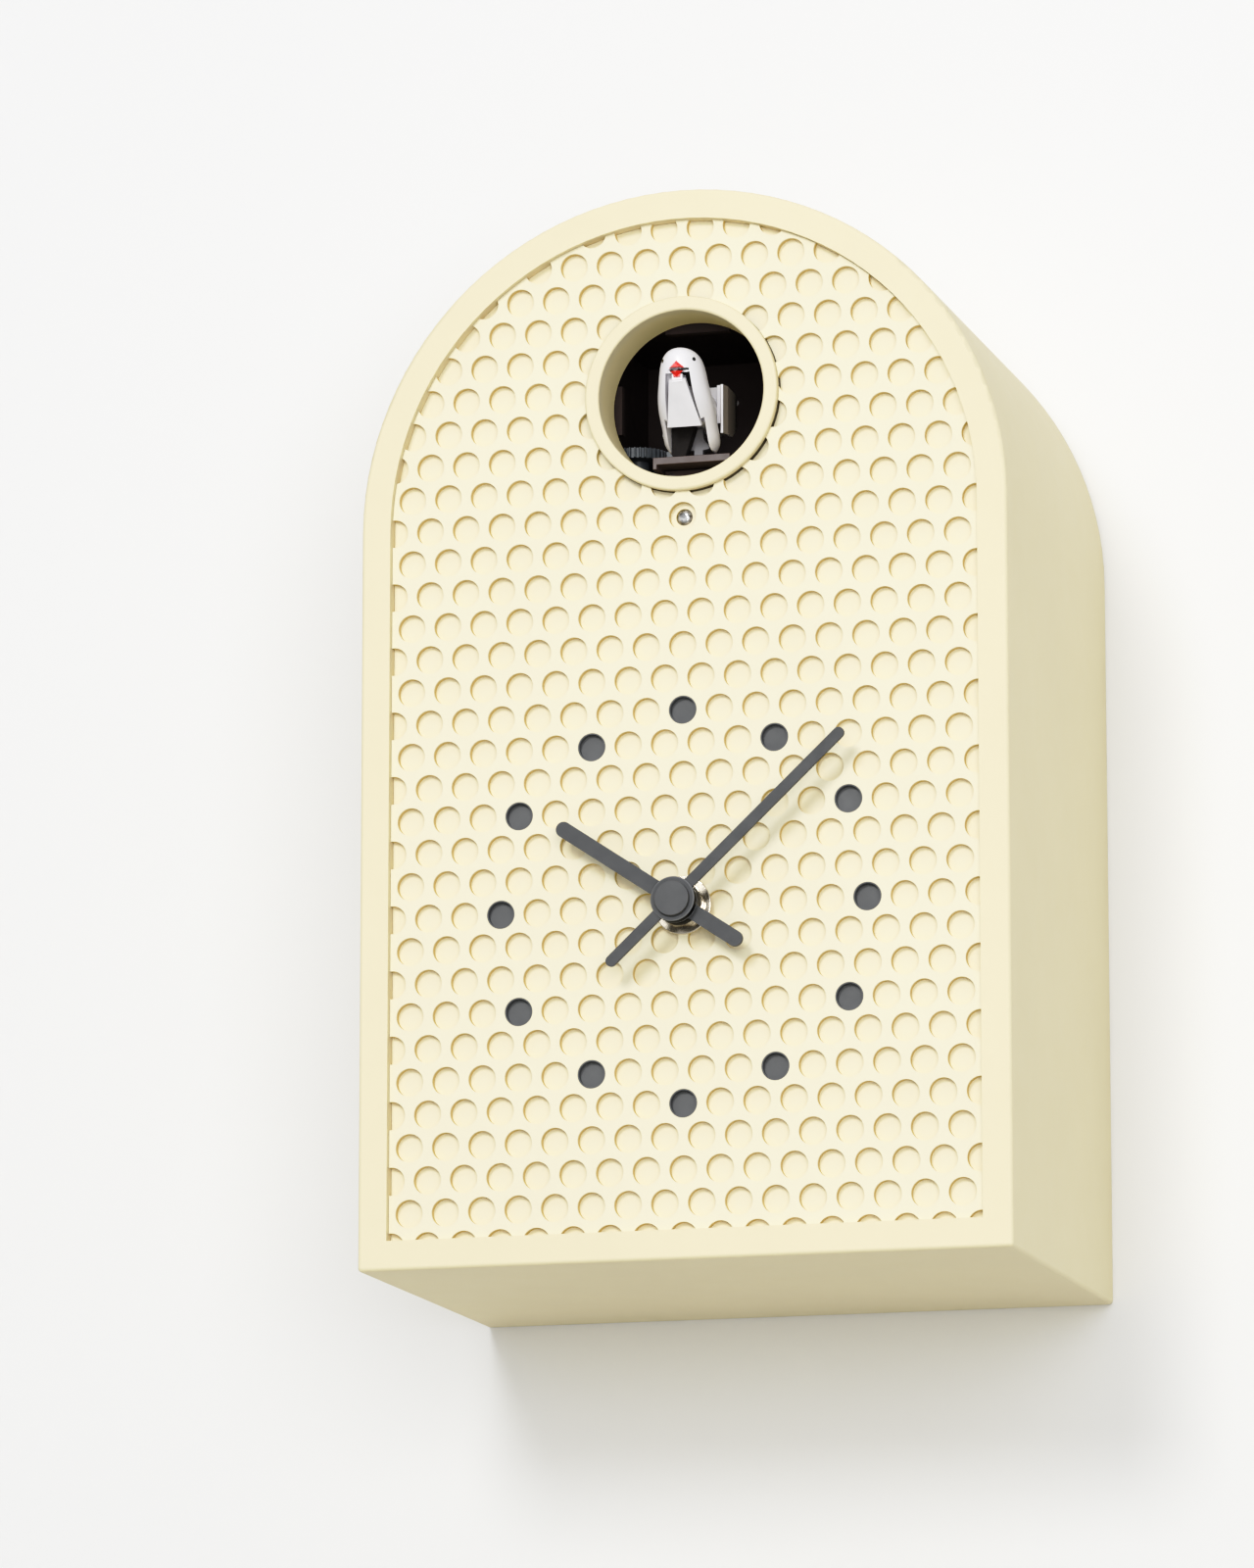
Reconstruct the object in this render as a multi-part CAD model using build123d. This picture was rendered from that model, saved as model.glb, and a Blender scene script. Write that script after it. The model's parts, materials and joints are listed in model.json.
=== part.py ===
"""Arched wall cuckoo clock: dimpled dial, quartz movement and a bird that slides out of a round window.

Millimetres. X to the right, Y from the front towards the wall, Z up. The origin is the hanging hole,
in the plane of the wall. Depths are measured from the face of the dial panel, positive towards the wall.
"""

import os
from math import atan2, cos, degrees, hypot, pi, radians, sin

from build123d import *

# Case
CASE_WIDTH = 200.0
CASE_HEIGHT = 325.0
CASE_DEPTH = 135.0
WALL = 9.0
TOP_Z = 39.0
BASE_Z = TOP_Z - CASE_HEIGHT
ARCH_RADIUS = CASE_WIDTH / 2
ARCH_Z = TOP_Z - ARCH_RADIUS
CORNER_RADIUS = 1.2
FRONT_ROUND = 1.2
REAR_ROUND = 2.0

# Dial panel
PANEL_RECESS = 2.0
PANEL_THICKNESS = 8.0
PANEL_Y = PANEL_RECESS - CASE_DEPTH
PANEL_GAP = 0.1
DIAL_Z = -180.0
POCKET_RADIUS = 4.25
POCKET_DEPTH = 2.4
POCKET_PITCH = 11.28
POCKET_ROW = 9.88
POCKET_ROWS = range(-10, 22)
MARKER_WALL = 0.35
MARKER_SEAT = 0.05
MARKERS = [(0, 6), (2.5, 5), (4.5, 3), (5, 0), (4.5, -3), (2.5, -5)]
SENSOR_ROW = 12
SENSOR_RADIUS = 2.5

# Window
WINDOW_Z = -24.0
WINDOW_RADIUS = 25.6
COLLAR_RADIUS = 29.9
COLLAR_BACK = 15.0
COLLAR_FLANGE = (33.0, 8.0, 10.0)

# Back
BACK_THICKNESS = 5.0
BACK_RECESS = 1.5
BACK_RIM = 4.2
WALL_DEPTH = CASE_DEPTH - PANEL_RECESS
BACK_FACE = WALL_DEPTH - BACK_RECESS
ACCESS = ((-55.0, 55.0), (-225.0, -105.0))
ACCESS_CORNER = 12.0
BACK_SCREW_EDGE = 3.2
SCREW_HOLE = 1.3
HANG_RADIUS = 5.0
HANG_SLOT = 4.4
HANGER_SCREWS = (-22.0, 22.0)
HANGER_COUNTERSINK = 1.0
SPEAKER_Z = -66.0
SPEAKER_RADIUS = 25.0

# Hands
MINUTE_ANGLE = 47.0
HOUR_ANGLE = -56.1
HUB_RADIUS = 6.75
CAP_RADIUS = 5.3
CAP_FRONT = -13.2
# Reach of the tip, reach of the tail, width
MINUTE_BLADE = (71.0, 27.6, 3.4)
HOUR_BLADE = (43.9, 24.2, 4.7)

# Quartz movement, around the dial centre
MOVE_HALF = 28.0
MOVE_LOW = -31.0
MOVE_FRONT = 8.0
MOVE_SPLIT = 18.0
MOVE_BACK = 27.0
MOVE_WALL = 1.5
CELL_Z = -21.5
CELL_RADIUS = 7.25
CELL_LENGTH = 50.5
RUNNING = 0.05

# Bird and its drive, around the window centre
PLATFORM_TOP = -16.6
PLATFORM_HALF = 12.0
GEAR_MODULE = 0.5
GEAR_TEETH = 36
PINION_TEETH = 10
GEAR_DEPTH = 26.0
GEAR_HEIGHT = (-14.2, -11.1)

# Share of the tooth pitch that a tooth takes at its root and at its tip
TOOTH_ROOT = 0.46
TOOTH_TIP = 0.20
ADDENDUM = 0.75
DEDENDUM = 1.0


def facing(depth, x=0.0, z=0.0):
    """Plane parallel to the wall at this depth: X to the right, Z up, the normal to the front."""
    return Plane(origin=(x, PANEL_Y + depth, z), x_dir=(1, 0, 0), z_dir=(0, -1, 0))


def slab(sketch, front, back, x=0.0, z=0.0):
    """The sketch as a plate between two depths."""
    return extrude(facing(back, x, z) * sketch, amount=back - front)


def disc(radius, front, back, x=0.0, z=0.0):
    return slab(Circle(radius), front, back, x, z)


def ring(outer, inner, front, back, x=0.0, z=0.0):
    return slab(Circle(outer) - Circle(inner), front, back, x, z)


def brick(x, depth, z):
    """A block given by its (low, high) pair along X, depth and Z."""
    size = (x[1] - x[0], depth[1] - depth[0], z[1] - z[0])
    middle = ((x[0] + x[1]) / 2, PANEL_Y + (depth[0] + depth[1]) / 2, (z[0] + z[1]) / 2)
    return Pos(*middle) * Box(*size)


def shifted(span, offset):
    return (span[0] + offset, span[1] + offset)


def upright(radius, x, depth, low, high):
    """A cylinder along Z."""
    return Pos(x, PANEL_Y + depth, (low + high) / 2) * Cylinder(radius, high - low)


def mirrored(shape):
    return mirror(shape, about=Plane.YZ)


def pair(shape):
    """The shape and its mirror image across the clock's middle plane."""
    return Compound(children=[*shape.solids(), *mirrored(shape).solids()])


def group(shapes):
    return Compound(children=[solid for shape in shapes for solid in shape.solids()])


def arch(inset):
    """Round-topped outline, set in from the case's outline."""
    half = ARCH_RADIUS - inset
    base = BASE_Z + inset
    straight = ARCH_Z - base
    body = Pos(0, base + straight / 2) * Rectangle(2 * half, straight)
    return body + Pos(0, ARCH_Z) * Circle(half)


def gear_outline(teeth, module, phase=0.0):
    """Outline of a gear with slim straight-flanked teeth, one of them centred on the phase angle."""
    pitch = 2 * pi / teeth
    root = module * (teeth / 2 - DEDENDUM)
    tip = module * (teeth / 2 + ADDENDUM)
    corners = []
    for tooth in range(teeth):
        middle = radians(phase) + tooth * pitch
        for radius, share in ((root, -TOOTH_ROOT), (tip, -TOOTH_TIP), (tip, TOOTH_TIP), (root, TOOTH_ROOT)):
            angle = middle + share * pitch / 2
            corners.append((radius * cos(angle), radius * sin(angle)))
    return make_face(Polyline(*corners, close=True))


def gear(teeth, module, front, back, at, phase=0.0):
    """Gear with its axis along Y, at (x, height above the dial centre)."""
    return slab(gear_outline(teeth, module, phase), front, back, at[0], DIAL_Z + at[1])


def direction(start, end):
    return degrees(atan2(end[1] - start[1], end[0] - start[0]))


def beside(start, distance, angle):
    return (start[0] + distance * cos(radians(angle)), start[1] + distance * sin(radians(angle)))


def mesh_phases(first, second, second_teeth):
    """Phases that put a tooth of the first gear in a gap of the second."""
    towards = direction(first, second)
    return towards, towards + 180 + 180 / second_teeth


# ---------------------------------------------------------------- case


def case_shell():
    """Open tube of the arch's outline, with a rebate at the rear for the back panel."""
    outline = arch(0)
    outline = fillet(outline.vertices().filter_by(lambda v: v.Y < BASE_Z + 1), CORNER_RADIUS)
    body = slab(outline, -PANEL_RECESS, WALL_DEPTH)
    front = body.faces().sort_by(Axis.Y)[0]
    body = fillet(front.outer_wire().edges(), FRONT_ROUND)
    rear = body.faces().filter_by(Axis.Y).sort_by(Axis.Y)[-1]
    body = fillet(rear.outer_wire().edges(), REAR_ROUND)
    body -= slab(arch(WALL), -PANEL_RECESS, WALL_DEPTH)
    return body - slab(arch(WALL - BACK_RIM), BACK_FACE - BACK_THICKNESS, WALL_DEPTH)


def pocket_centres():
    """Every pocket centre of the dial's staggered grid, as (x, height above the dial centre)."""
    centres = []
    for row in POCKET_ROWS:
        offset = 0.5 if row % 2 else 0.0
        for column in range(-9, 10):
            centres.append(((column + offset) * POCKET_PITCH, row * POCKET_ROW))
    return centres


def marker_centres():
    right = [(x * POCKET_PITCH, row * POCKET_ROW) for x, row in MARKERS]
    low = (0.0, -6 * POCKET_ROW)
    return right + [low] + [(-x, z) for x, z in right if x > 0]


def on_panel(x, z):
    """Whether a pocket here cuts the panel and stays clear of the centre hole and the window."""
    inside = ARCH_RADIUS - WALL + POCKET_RADIUS * 0.85
    above = DIAL_Z + z - ARCH_Z
    from_axis = hypot(x, above) if above > 0 else abs(x)
    low = DIAL_Z + z > BASE_Z + WALL - POCKET_RADIUS * 0.85
    window = hypot(x, DIAL_Z + z - WINDOW_Z) > COLLAR_RADIUS - POCKET_RADIUS * 0.85
    return from_axis < inside and low and window and hypot(x, z) > 1


def front_panel():
    panel = slab(arch(WALL + PANEL_GAP), 0, PANEL_THICKNESS)
    markers = {(round(x, 2), round(z, 2)) for x, z in marker_centres()}
    plain = []
    seats = []
    for x, z in pocket_centres():
        if on_panel(x, z):
            seat = (round(x, 2), round(z, 2)) in markers
            (seats if seat else plain).append((x, DIAL_Z + z))
    cuts = slab(Sketch() + [Pos(x, z) * Circle(POCKET_RADIUS) for x, z in plain], 0, POCKET_DEPTH)
    seat_radius = POCKET_RADIUS + MARKER_SEAT
    seat_cuts = slab(Sketch() + [Pos(x, z) * Circle(seat_radius) for x, z in seats], 0, POCKET_DEPTH)
    panel = panel - cuts - seat_cuts
    panel -= disc(COLLAR_RADIUS + RUNNING, 0, PANEL_THICKNESS, 0, WINDOW_Z)
    panel -= disc(4.2, 0, PANEL_THICKNESS, 0, DIAL_Z)
    panel -= disc(SENSOR_RADIUS + RUNNING, 0, PANEL_THICKNESS, 0, DIAL_Z + SENSOR_ROW * POCKET_ROW)
    for x, z in chassis_feet():
        panel -= disc(SCREW_HOLE, 4, PANEL_THICKNESS, x, z)
    return panel


def hour_markers():
    """Twelve shallow cups that line the pockets at the hours."""
    cups = []
    for x, z in marker_centres():
        cup = disc(POCKET_RADIUS, 0.02, POCKET_DEPTH, x, DIAL_Z + z)
        cups.append(cup - disc(POCKET_RADIUS - MARKER_WALL, 0.02, POCKET_DEPTH - MARKER_WALL, x, DIAL_Z + z))
    return group(cups)


def window_collar():
    tube = disc(COLLAR_RADIUS, -PANEL_RECESS, COLLAR_BACK, 0, WINDOW_Z)
    tube += disc(COLLAR_FLANGE[0], COLLAR_FLANGE[1], COLLAR_FLANGE[2], 0, WINDOW_Z)
    tube -= disc(WINDOW_RADIUS, -PANEL_RECESS, COLLAR_BACK, 0, WINDOW_Z)
    lip = tube.edges().filter_by(GeomType.CIRCLE).group_by(Axis.Y)[0]
    return fillet(lip, 0.7)


def panel_battens():
    """Glue strips in the corner between the case and the back of the panel."""
    inner = ARCH_RADIUS - WALL
    floor = BASE_Z + WALL
    depth = (PANEL_THICKNESS, PANEL_THICKNESS + 10)
    right = brick((inner - 8, inner), depth, (floor + 8, ARCH_Z))
    bottom = brick((-inner, inner), depth, (floor, floor + 8))
    return group([right, mirrored(right), bottom])


def back_screw_places():
    side = ARCH_RADIUS - WALL + BACK_RIM - BACK_SCREW_EDGE
    low = BASE_Z + WALL - BACK_RIM + BACK_SCREW_EDGE
    places = [(x, z) for x in (-side, side) for z in (ARCH_Z, (ARCH_Z + low) / 2)]
    places += [(x, low) for x in (-60.0, 60.0)]
    return places + [(x * side * sin(radians(50)), ARCH_Z + side * cos(radians(50))) for x in (-1, 1)]


def back_panel():
    """Back with an opening that a hand reaches through, sound holes and a hole behind the hanger plate."""
    back = BACK_FACE
    front = back - BACK_THICKNESS
    panel = slab(arch(WALL - BACK_RIM + 0.2), front, back)
    (left, right), (low, high) = ACCESS
    opening = RectangleRounded(right - left, high - low, ACCESS_CORNER)
    panel -= slab(Pos((left + right) / 2, (low + high) / 2) * opening, front, back)
    panel -= disc(11, front, back)
    for x, z in sound_holes():
        panel -= disc(2.0, front, back, x, z)
    for x, z in back_screw_places():
        panel -= disc(SCREW_HOLE, front, back, x, z)
    for x in HANGER_SCREWS:
        panel -= disc(SCREW_HOLE, front, back, x, 0)
    return panel


def sound_holes():
    """Rings of sound holes behind the speaker."""
    holes = [(0.0, SPEAKER_Z)]
    for radius, count in ((8.0, 6), (16.0, 12)):
        for index in range(count):
            angle = 2 * pi * index / count
            holes.append((radius * cos(angle), SPEAKER_Z + radius * sin(angle)))
    return holes


def wood_screw(x, z, face, shank, head=2.5):
    """Pan head on a surface at this depth, driven towards the front, or the back if shank is negative."""
    slot = Rectangle(head * 1.3, 0.6) + Rectangle(0.6, head * 1.3)
    sign = 1 if shank > 0 else -1
    near, far = sorted((face, face + sign * 1.0))
    cut_near, cut_far = sorted((face + sign * 0.5, face + sign * 1.0))
    low, high = sorted((face, face - shank))
    screw = disc(head, near, far, x, z) + disc(SCREW_HOLE - RUNNING, low, high, x, z)
    return screw - slab(slot, cut_near, cut_far, x, z)


def back_panel_screws():
    """Screws through the back panel into the rebate, with their heads below the wall plane."""
    return group([wood_screw(x, z, BACK_FACE, BACK_THICKNESS) for x, z in back_screw_places()])


def hanger_plate():
    """Steel plate with the hanging hole and the slot that the nail's head seats in."""
    plate = slab(RectangleRounded(60, 20, 4), BACK_FACE, WALL_DEPTH)
    keyhole = Circle(HANG_RADIUS) + Pos(0, HANG_RADIUS) * Rectangle(HANG_SLOT, 2 * HANG_RADIUS - 3)
    keyhole += Pos(0, 2 * HANG_RADIUS - 1.5) * Circle(HANG_SLOT / 2)
    plate -= slab(keyhole, BACK_FACE, WALL_DEPTH)
    for x in HANGER_SCREWS:
        plate -= disc(SCREW_HOLE, BACK_FACE, WALL_DEPTH, x, 0)
        plate -= disc(2.6, WALL_DEPTH - HANGER_COUNTERSINK, WALL_DEPTH, x, 0)
    return plate


def hanger_screws():
    """Flat heads let into the hanger plate."""
    face = WALL_DEPTH - HANGER_COUNTERSINK
    shank = SCREW_HOLE - RUNNING
    screws = []
    for x in HANGER_SCREWS:
        screws.append(disc(2.5, face, face + 0.9, x, 0) + disc(shank, face - 5, face, x, 0))
    return group(screws)


def light_sensor():
    """Clear five-millimetre sensor whose dome stands up from the bottom of a pocket."""
    z = DIAL_Z + SENSOR_ROW * POCKET_ROW
    body = disc(SENSOR_RADIUS, POCKET_DEPTH - 0.4, PANEL_THICKNESS + 1.5, 0, z)
    body += disc(2.9, PANEL_THICKNESS, PANEL_THICKNESS + 1.5, 0, z)
    return fillet(body.edges().filter_by(GeomType.CIRCLE).group_by(Axis.Y)[0], 1.6)


# ---------------------------------------------------------------- quartz movement

# Motion work: twelve turns of the minute pipe to one of the hour pipe
MINUTE_TEETH = 12
MOTION_TEETH = 36
MINUTE_MODULE = 0.52
MOTION_PINION_TEETH = 10
HOUR_TEETH = 40
HOUR_MODULE = MINUTE_MODULE * (MINUTE_TEETH + MOTION_TEETH) / (MOTION_PINION_TEETH + HOUR_TEETH)

# Wheel places, as (x, height) from the dial centre
CENTRE = (0.0, 0.0)
MOTION = beside(CENTRE, 12.48, 20)
THIRD = beside(CENTRE, 12.24, 155)
TRANSFER = beside(THIRD, 10.8, 60)
ROTOR = beside(TRANSFER, 8.84, 10)
ARBOR_RADIUS = 0.5
ARBOR_DEPTHS = (MOVE_FRONT + 0.7, MOVE_BACK - 0.7)
CELL_BAY = (-29.0, -14.0)


def arbor(at, radius=ARBOR_RADIUS, depths=ARBOR_DEPTHS):
    return disc(radius, depths[0], depths[1], at[0], DIAL_Z + at[1])


def movement_box(front, back, inset=0.0):
    low = DIAL_Z + MOVE_LOW + inset
    high = DIAL_Z + MOVE_HALF - inset
    return brick((inset - MOVE_HALF, MOVE_HALF - inset), (front, back), (low, high))


def pivot_holes():
    reach = (ARBOR_DEPTHS[0] - 0.1, ARBOR_DEPTHS[1] + 0.1)
    return [arbor(at, ARBOR_RADIUS + RUNNING, reach) for at in (THIRD, TRANSFER, ROTOR)]


def bay_partition(front, back):
    return brick((-27, 27), (front, back), (DIAL_Z - 13.5, DIAL_Z - 12.5))


def movement_front_case():
    case = movement_box(MOVE_FRONT, MOVE_SPLIT)
    case -= movement_box(MOVE_FRONT + MOVE_WALL, MOVE_SPLIT, MOVE_WALL)
    case += bay_partition(MOVE_FRONT + MOVE_WALL, MOVE_SPLIT)
    case -= disc(4.05, MOVE_FRONT, MOVE_FRONT + MOVE_WALL, 0, DIAL_Z)
    case -= arbor(MOTION, 0.85, (MOVE_FRONT + 0.6, MOVE_FRONT + MOVE_WALL))
    return case - pivot_holes()


def movement_rear_case():
    case = movement_box(MOVE_SPLIT, MOVE_BACK)
    case -= movement_box(MOVE_SPLIT, MOVE_BACK - MOVE_WALL, MOVE_WALL)
    case += bay_partition(MOVE_SPLIT, MOVE_BACK - MOVE_WALL)
    case -= brick((-25.6, 25.6), (MOVE_BACK - MOVE_WALL, MOVE_BACK), shifted(CELL_BAY, DIAL_Z))
    case -= arbor(MOTION, 0.85, (MOVE_BACK - MOVE_WALL, MOVE_BACK))
    return case - pivot_holes()


def threaded_bushing():
    """Brass bushing that carries the pipes and takes the dial nut."""
    shank = disc(4.0, -4.2, MOVE_FRONT + MOVE_WALL, 0, DIAL_Z)
    shank += disc(6.0, MOVE_FRONT + MOVE_WALL, MOVE_FRONT + MOVE_WALL + 0.5, 0, DIAL_Z)
    shank = chamfer(shank.edges().filter_by(GeomType.CIRCLE).group_by(Axis.Y)[0], 0.4)
    return shank - disc(2.75, -4.2, MOVE_FRONT + MOVE_WALL + 0.5, 0, DIAL_Z)


def dial_washer():
    washer = disc(8.8, -0.7, 0, 0, DIAL_Z)
    washer = fillet(washer.edges().group_by(Axis.Y)[0], 0.3)
    return washer - disc(4.05, -0.7, 0, 0, DIAL_Z)


def dial_nut():
    nut = slab(RegularPolygon(7.0, 6), -3.4, -0.7, 0, DIAL_Z)
    round_off = disc(6.7, -3.4, -0.7, 0, DIAL_Z)
    round_off = chamfer(round_off.edges().group_by(Axis.Y)[0], 0.5)
    return (nut & round_off) - disc(4.02, -3.4, -0.7, 0, DIAL_Z)


def hand(angle, blade_size, arm, hub, bore):
    """A straight round-ended hand with its hub, turned clockwise from twelve."""
    tip, tail, width = blade_size
    length = tip + tail
    blade = Pos(0, (tip - tail) / 2) * SlotOverall(length, width, 90)
    body = slab(Rot(0, 0, -angle) * blade, arm[0], arm[1], 0, DIAL_Z)
    boss = disc(HUB_RADIUS, hub[0], hub[1], 0, DIAL_Z)
    boss = chamfer(boss.edges().filter_by(GeomType.CIRCLE).group_by(Axis.Y)[0], 0.35)
    return body + boss - disc(bore, hub[0], hub[1], 0, DIAL_Z)


def hour_hand():
    return hand(HOUR_ANGLE, HOUR_BLADE, (-8.5, -7.3), (-8.9, -6.4), 2.65)


def minute_hand():
    return hand(MINUTE_ANGLE, MINUTE_BLADE, (-11.4, -10.4), (-12.0, -9.2), 1.77)


def hand_cap():
    cap = disc(CAP_RADIUS, CAP_FRONT, -12.0, 0, DIAL_Z)
    return fillet(cap.edges().filter_by(GeomType.CIRCLE).group_by(Axis.Y)[0], 0.3)


def hour_wheel():
    phase = mesh_phases(MOTION, CENTRE, HOUR_TEETH)[1]
    wheel = gear(HOUR_TEETH, HOUR_MODULE, 11.0, 12.0, CENTRE, phase)
    wheel += disc(2.65, -8.9, 11.5, 0, DIAL_Z)
    return wheel - disc(1.85, -8.9, 12.0, 0, DIAL_Z)


def minute_cannon():
    """Minute pipe, its pinion and the stub that the centre wheel grips."""
    pipe = disc(1.77, -12.0, 14.4, 0, DIAL_Z)
    phase = mesh_phases(CENTRE, MOTION, MOTION_TEETH)[0]
    pipe += gear(MINUTE_TEETH, MINUTE_MODULE, 12.7, 14.2, CENTRE, phase)
    return pipe + disc(1.2, 14.4, 17.4, 0, DIAL_Z)


def motion_wheel():
    phase = mesh_phases(CENTRE, MOTION, MOTION_TEETH)[1]
    wheel = gear(MOTION_TEETH, MINUTE_MODULE, 12.9, 13.9, MOTION, phase)
    phase = mesh_phases(MOTION, CENTRE, HOUR_TEETH)[0]
    wheel += gear(MOTION_PINION_TEETH, HOUR_MODULE, 10.6, 13.0, MOTION, phase)
    return wheel + arbor(MOTION, 0.8, (MOVE_FRONT + 0.7, MOVE_BACK + 1.0))


def set_knob():
    """Fluted knob on the motion wheel's arbor, behind the movement."""
    x, z = MOTION[0], DIAL_Z + MOTION[1]
    knob = disc(6.5, MOVE_BACK + 0.5, MOVE_BACK + 6.0, x, z)
    for index in range(18):
        angle = 2 * pi * index / 18
        flute = (x + 6.6 * cos(angle), z + 6.6 * sin(angle))
        knob -= disc(0.5, MOVE_BACK + 0.5, MOVE_BACK + 6.0, *flute)
    return knob - arbor(MOTION, 0.8, (MOVE_BACK + 0.5, MOVE_BACK + 1.0))


def centre_wheel():
    wheel = gear(60, 0.36, 15.0, 15.9, CENTRE, mesh_phases(THIRD, CENTRE, 60)[1])
    return wheel + disc(3.0, 15.0, 17.2, 0, DIAL_Z) - disc(1.2 + RUNNING, 15.0, 17.2, 0, DIAL_Z)


def third_wheel():
    wheel = gear(64, 0.3, 18.2, 19.0, THIRD, mesh_phases(TRANSFER, THIRD, 64)[1])
    wheel += gear(8, 0.36, 14.6, 17.0, THIRD, mesh_phases(THIRD, CENTRE, 60)[0])
    return wheel + arbor(THIRD)


def transfer_wheel():
    wheel = gear(60, 0.26, 20.4, 21.2, TRANSFER, mesh_phases(ROTOR, TRANSFER, 60)[1])
    wheel += gear(8, 0.3, 17.8, 19.4, TRANSFER, mesh_phases(TRANSFER, THIRD, 64)[0])
    return wheel + arbor(TRANSFER)


def stepper_rotor():
    """Magnet and pinion of the stepping motor."""
    magnet = disc(2.6, 16.5, 19.0, ROTOR[0], DIAL_Z + ROTOR[1])
    pinion = gear(8, 0.26, 20.0, 21.6, ROTOR, mesh_phases(ROTOR, TRANSFER, 60)[0])
    return magnet + pinion + arbor(ROTOR)


COIL_Z = 23.6
COIL_X = (1.2, 12.0)


def stepper_stator():
    """Laminated plate around the rotor, with two ears up to the coil's core."""
    z = DIAL_Z + ROTOR[1]
    plate = brick((-2.5, 15.0), (17.2, 18.2), (z - 3.4, z + 4.0))
    ears = brick((-2.5, 0.9), (17.2, 18.2), (z + 3.9, DIAL_Z + 25.2))
    ears += brick((12.3, 15.0), (17.2, 18.2), (z + 3.9, DIAL_Z + 25.2))
    return plate + ears - disc(3.0, 17.2, 18.2, ROTOR[0], z)


def stepper_coil():
    """Coil wound on a bobbin between the stator's ears."""
    middle = Pos((COIL_X[0] + COIL_X[1]) / 2, PANEL_Y + 17.2, DIAL_Z + COIL_Z) * Rot(0, 90, 0)
    winding = middle * Cylinder(2.4, COIL_X[1] - COIL_X[0] - 0.2)
    for end in (-1, 1):
        winding += middle * Pos(0, 0, end * (COIL_X[1] - COIL_X[0] - 1.2) / 2) * Cylinder(2.8, 1.0)
    return winding


def movement_board():
    """Circuit board with its chip and the crystal's can."""
    board = brick((14, 26), (20.5, 21.7), shifted((-11.5, 11.5), DIAL_Z))
    board += brick((16, 22), (21.7, 22.9), shifted((-9, -3), DIAL_Z))
    crystal = Pos(22.0, PANEL_Y + 23.1, DIAL_Z + 5) * Cylinder(1.5, 7)
    return group([board, crystal])


def movement_cell():
    """Single cell lying across the foot of the movement."""
    lay = Pos(0, PANEL_Y + 18.2, DIAL_Z + CELL_Z) * Rot(0, 90, 0)
    body = lay * Pos(0, 0, -0.6) * Cylinder(CELL_RADIUS, CELL_LENGTH - 1.2)
    body = fillet(body.edges().filter_by(GeomType.CIRCLE), 0.6)
    return body + lay * Pos(0, 0, CELL_LENGTH / 2 - 0.6) * Cylinder(2.7, 1.2)


def movement_contacts():
    """Sprung plates at the two ends of the cell."""
    depth = (13.0, 23.5)
    return pair(brick((25.3, 25.8), depth, shifted((-27.0, -16.0), DIAL_Z)))


# ---------------------------------------------------------------- cuckoo drive

CHASSIS_HALF = 32.0
CHASSIS_WALL = 2.5
CHASSIS_LOW = -24.0
CHASSIS_HIGH = 28.0
CHASSIS_DEPTH = (17.0, 78.0)
FOOT_PLACES = ((40.0, 20.0), (40.0, -20.0))
LIP_THICKNESS = 3.0
RAIL_X = 8.0
RAIL_Z = -21.0
RAIL_RADIUS = 1.2
GEAR_X = -PLATFORM_HALF - 0.2 - GEAR_MODULE * GEAR_TEETH / 2
MOTOR_DEPTH = GEAR_DEPTH + GEAR_MODULE * (GEAR_TEETH + PINION_TEETH) / 2
MOTOR_RADIUS = 9.8


def at_window(z):
    return WINDOW_Z + z


def chassis_feet():
    return [(sign * x, at_window(z)) for x, z in FOOT_PLACES for sign in (-1, 1)]


def cuckoo_chassis():
    """Open-fronted box on four feet behind the window, with a lip on each side of its mouth."""
    outer = CHASSIS_HALF + CHASSIS_WALL
    low, high = at_window(CHASSIS_LOW), at_window(CHASSIS_HIGH)
    box = brick((-outer, outer), CHASSIS_DEPTH, (low - CHASSIS_WALL, high + CHASSIS_WALL))
    box -= brick((-CHASSIS_HALF, CHASSIS_HALF), (CHASSIS_DEPTH[0], CHASSIS_DEPTH[1] - 2), (low, high))
    mouth = (CHASSIS_DEPTH[0], CHASSIS_DEPTH[0] + LIP_THICKNESS)
    box += brick((-10, 10), mouth, (low, low + 4.6)) + brick((-10, 10), mouth, (high - 4.8, high))
    box += pair(brick((23.6, CHASSIS_HALF), mouth, (at_window(-7), at_window(8))))
    for x, z in chassis_feet():
        inner = outer - 1 if x > 0 else 1 - outer
        box += brick(sorted((inner, x)), (17, 20), (z - 4.5, z + 4.5))
        box += disc(4.5, PANEL_THICKNESS, 20, x, z)
        box -= disc(SCREW_HOLE, PANEL_THICKNESS, 20, x, z)
    for x in (-RAIL_X, RAIL_X):
        box -= disc(RAIL_RADIUS, CHASSIS_DEPTH[0], CHASSIS_DEPTH[1] - 1, x, at_window(RAIL_Z))
    box -= upright(1.5 + RUNNING, GEAR_X, GEAR_DEPTH, low - CHASSIS_WALL, low)
    return box - upright(3.0, GEAR_X, MOTOR_DEPTH, low - CHASSIS_WALL, low)


def chassis_screws():
    return group([wood_screw(x, z, 20.0, 15.5, 3.2) for x, z in chassis_feet()])


def guide_rails():
    """Two steel rods that the carriage runs on."""
    rails = [disc(RAIL_RADIUS, CHASSIS_DEPTH[0] + 0.2, CHASSIS_DEPTH[1] - 1, x, at_window(RAIL_Z))
             for x in (-RAIL_X, RAIL_X)]
    return group(rails)


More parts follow.
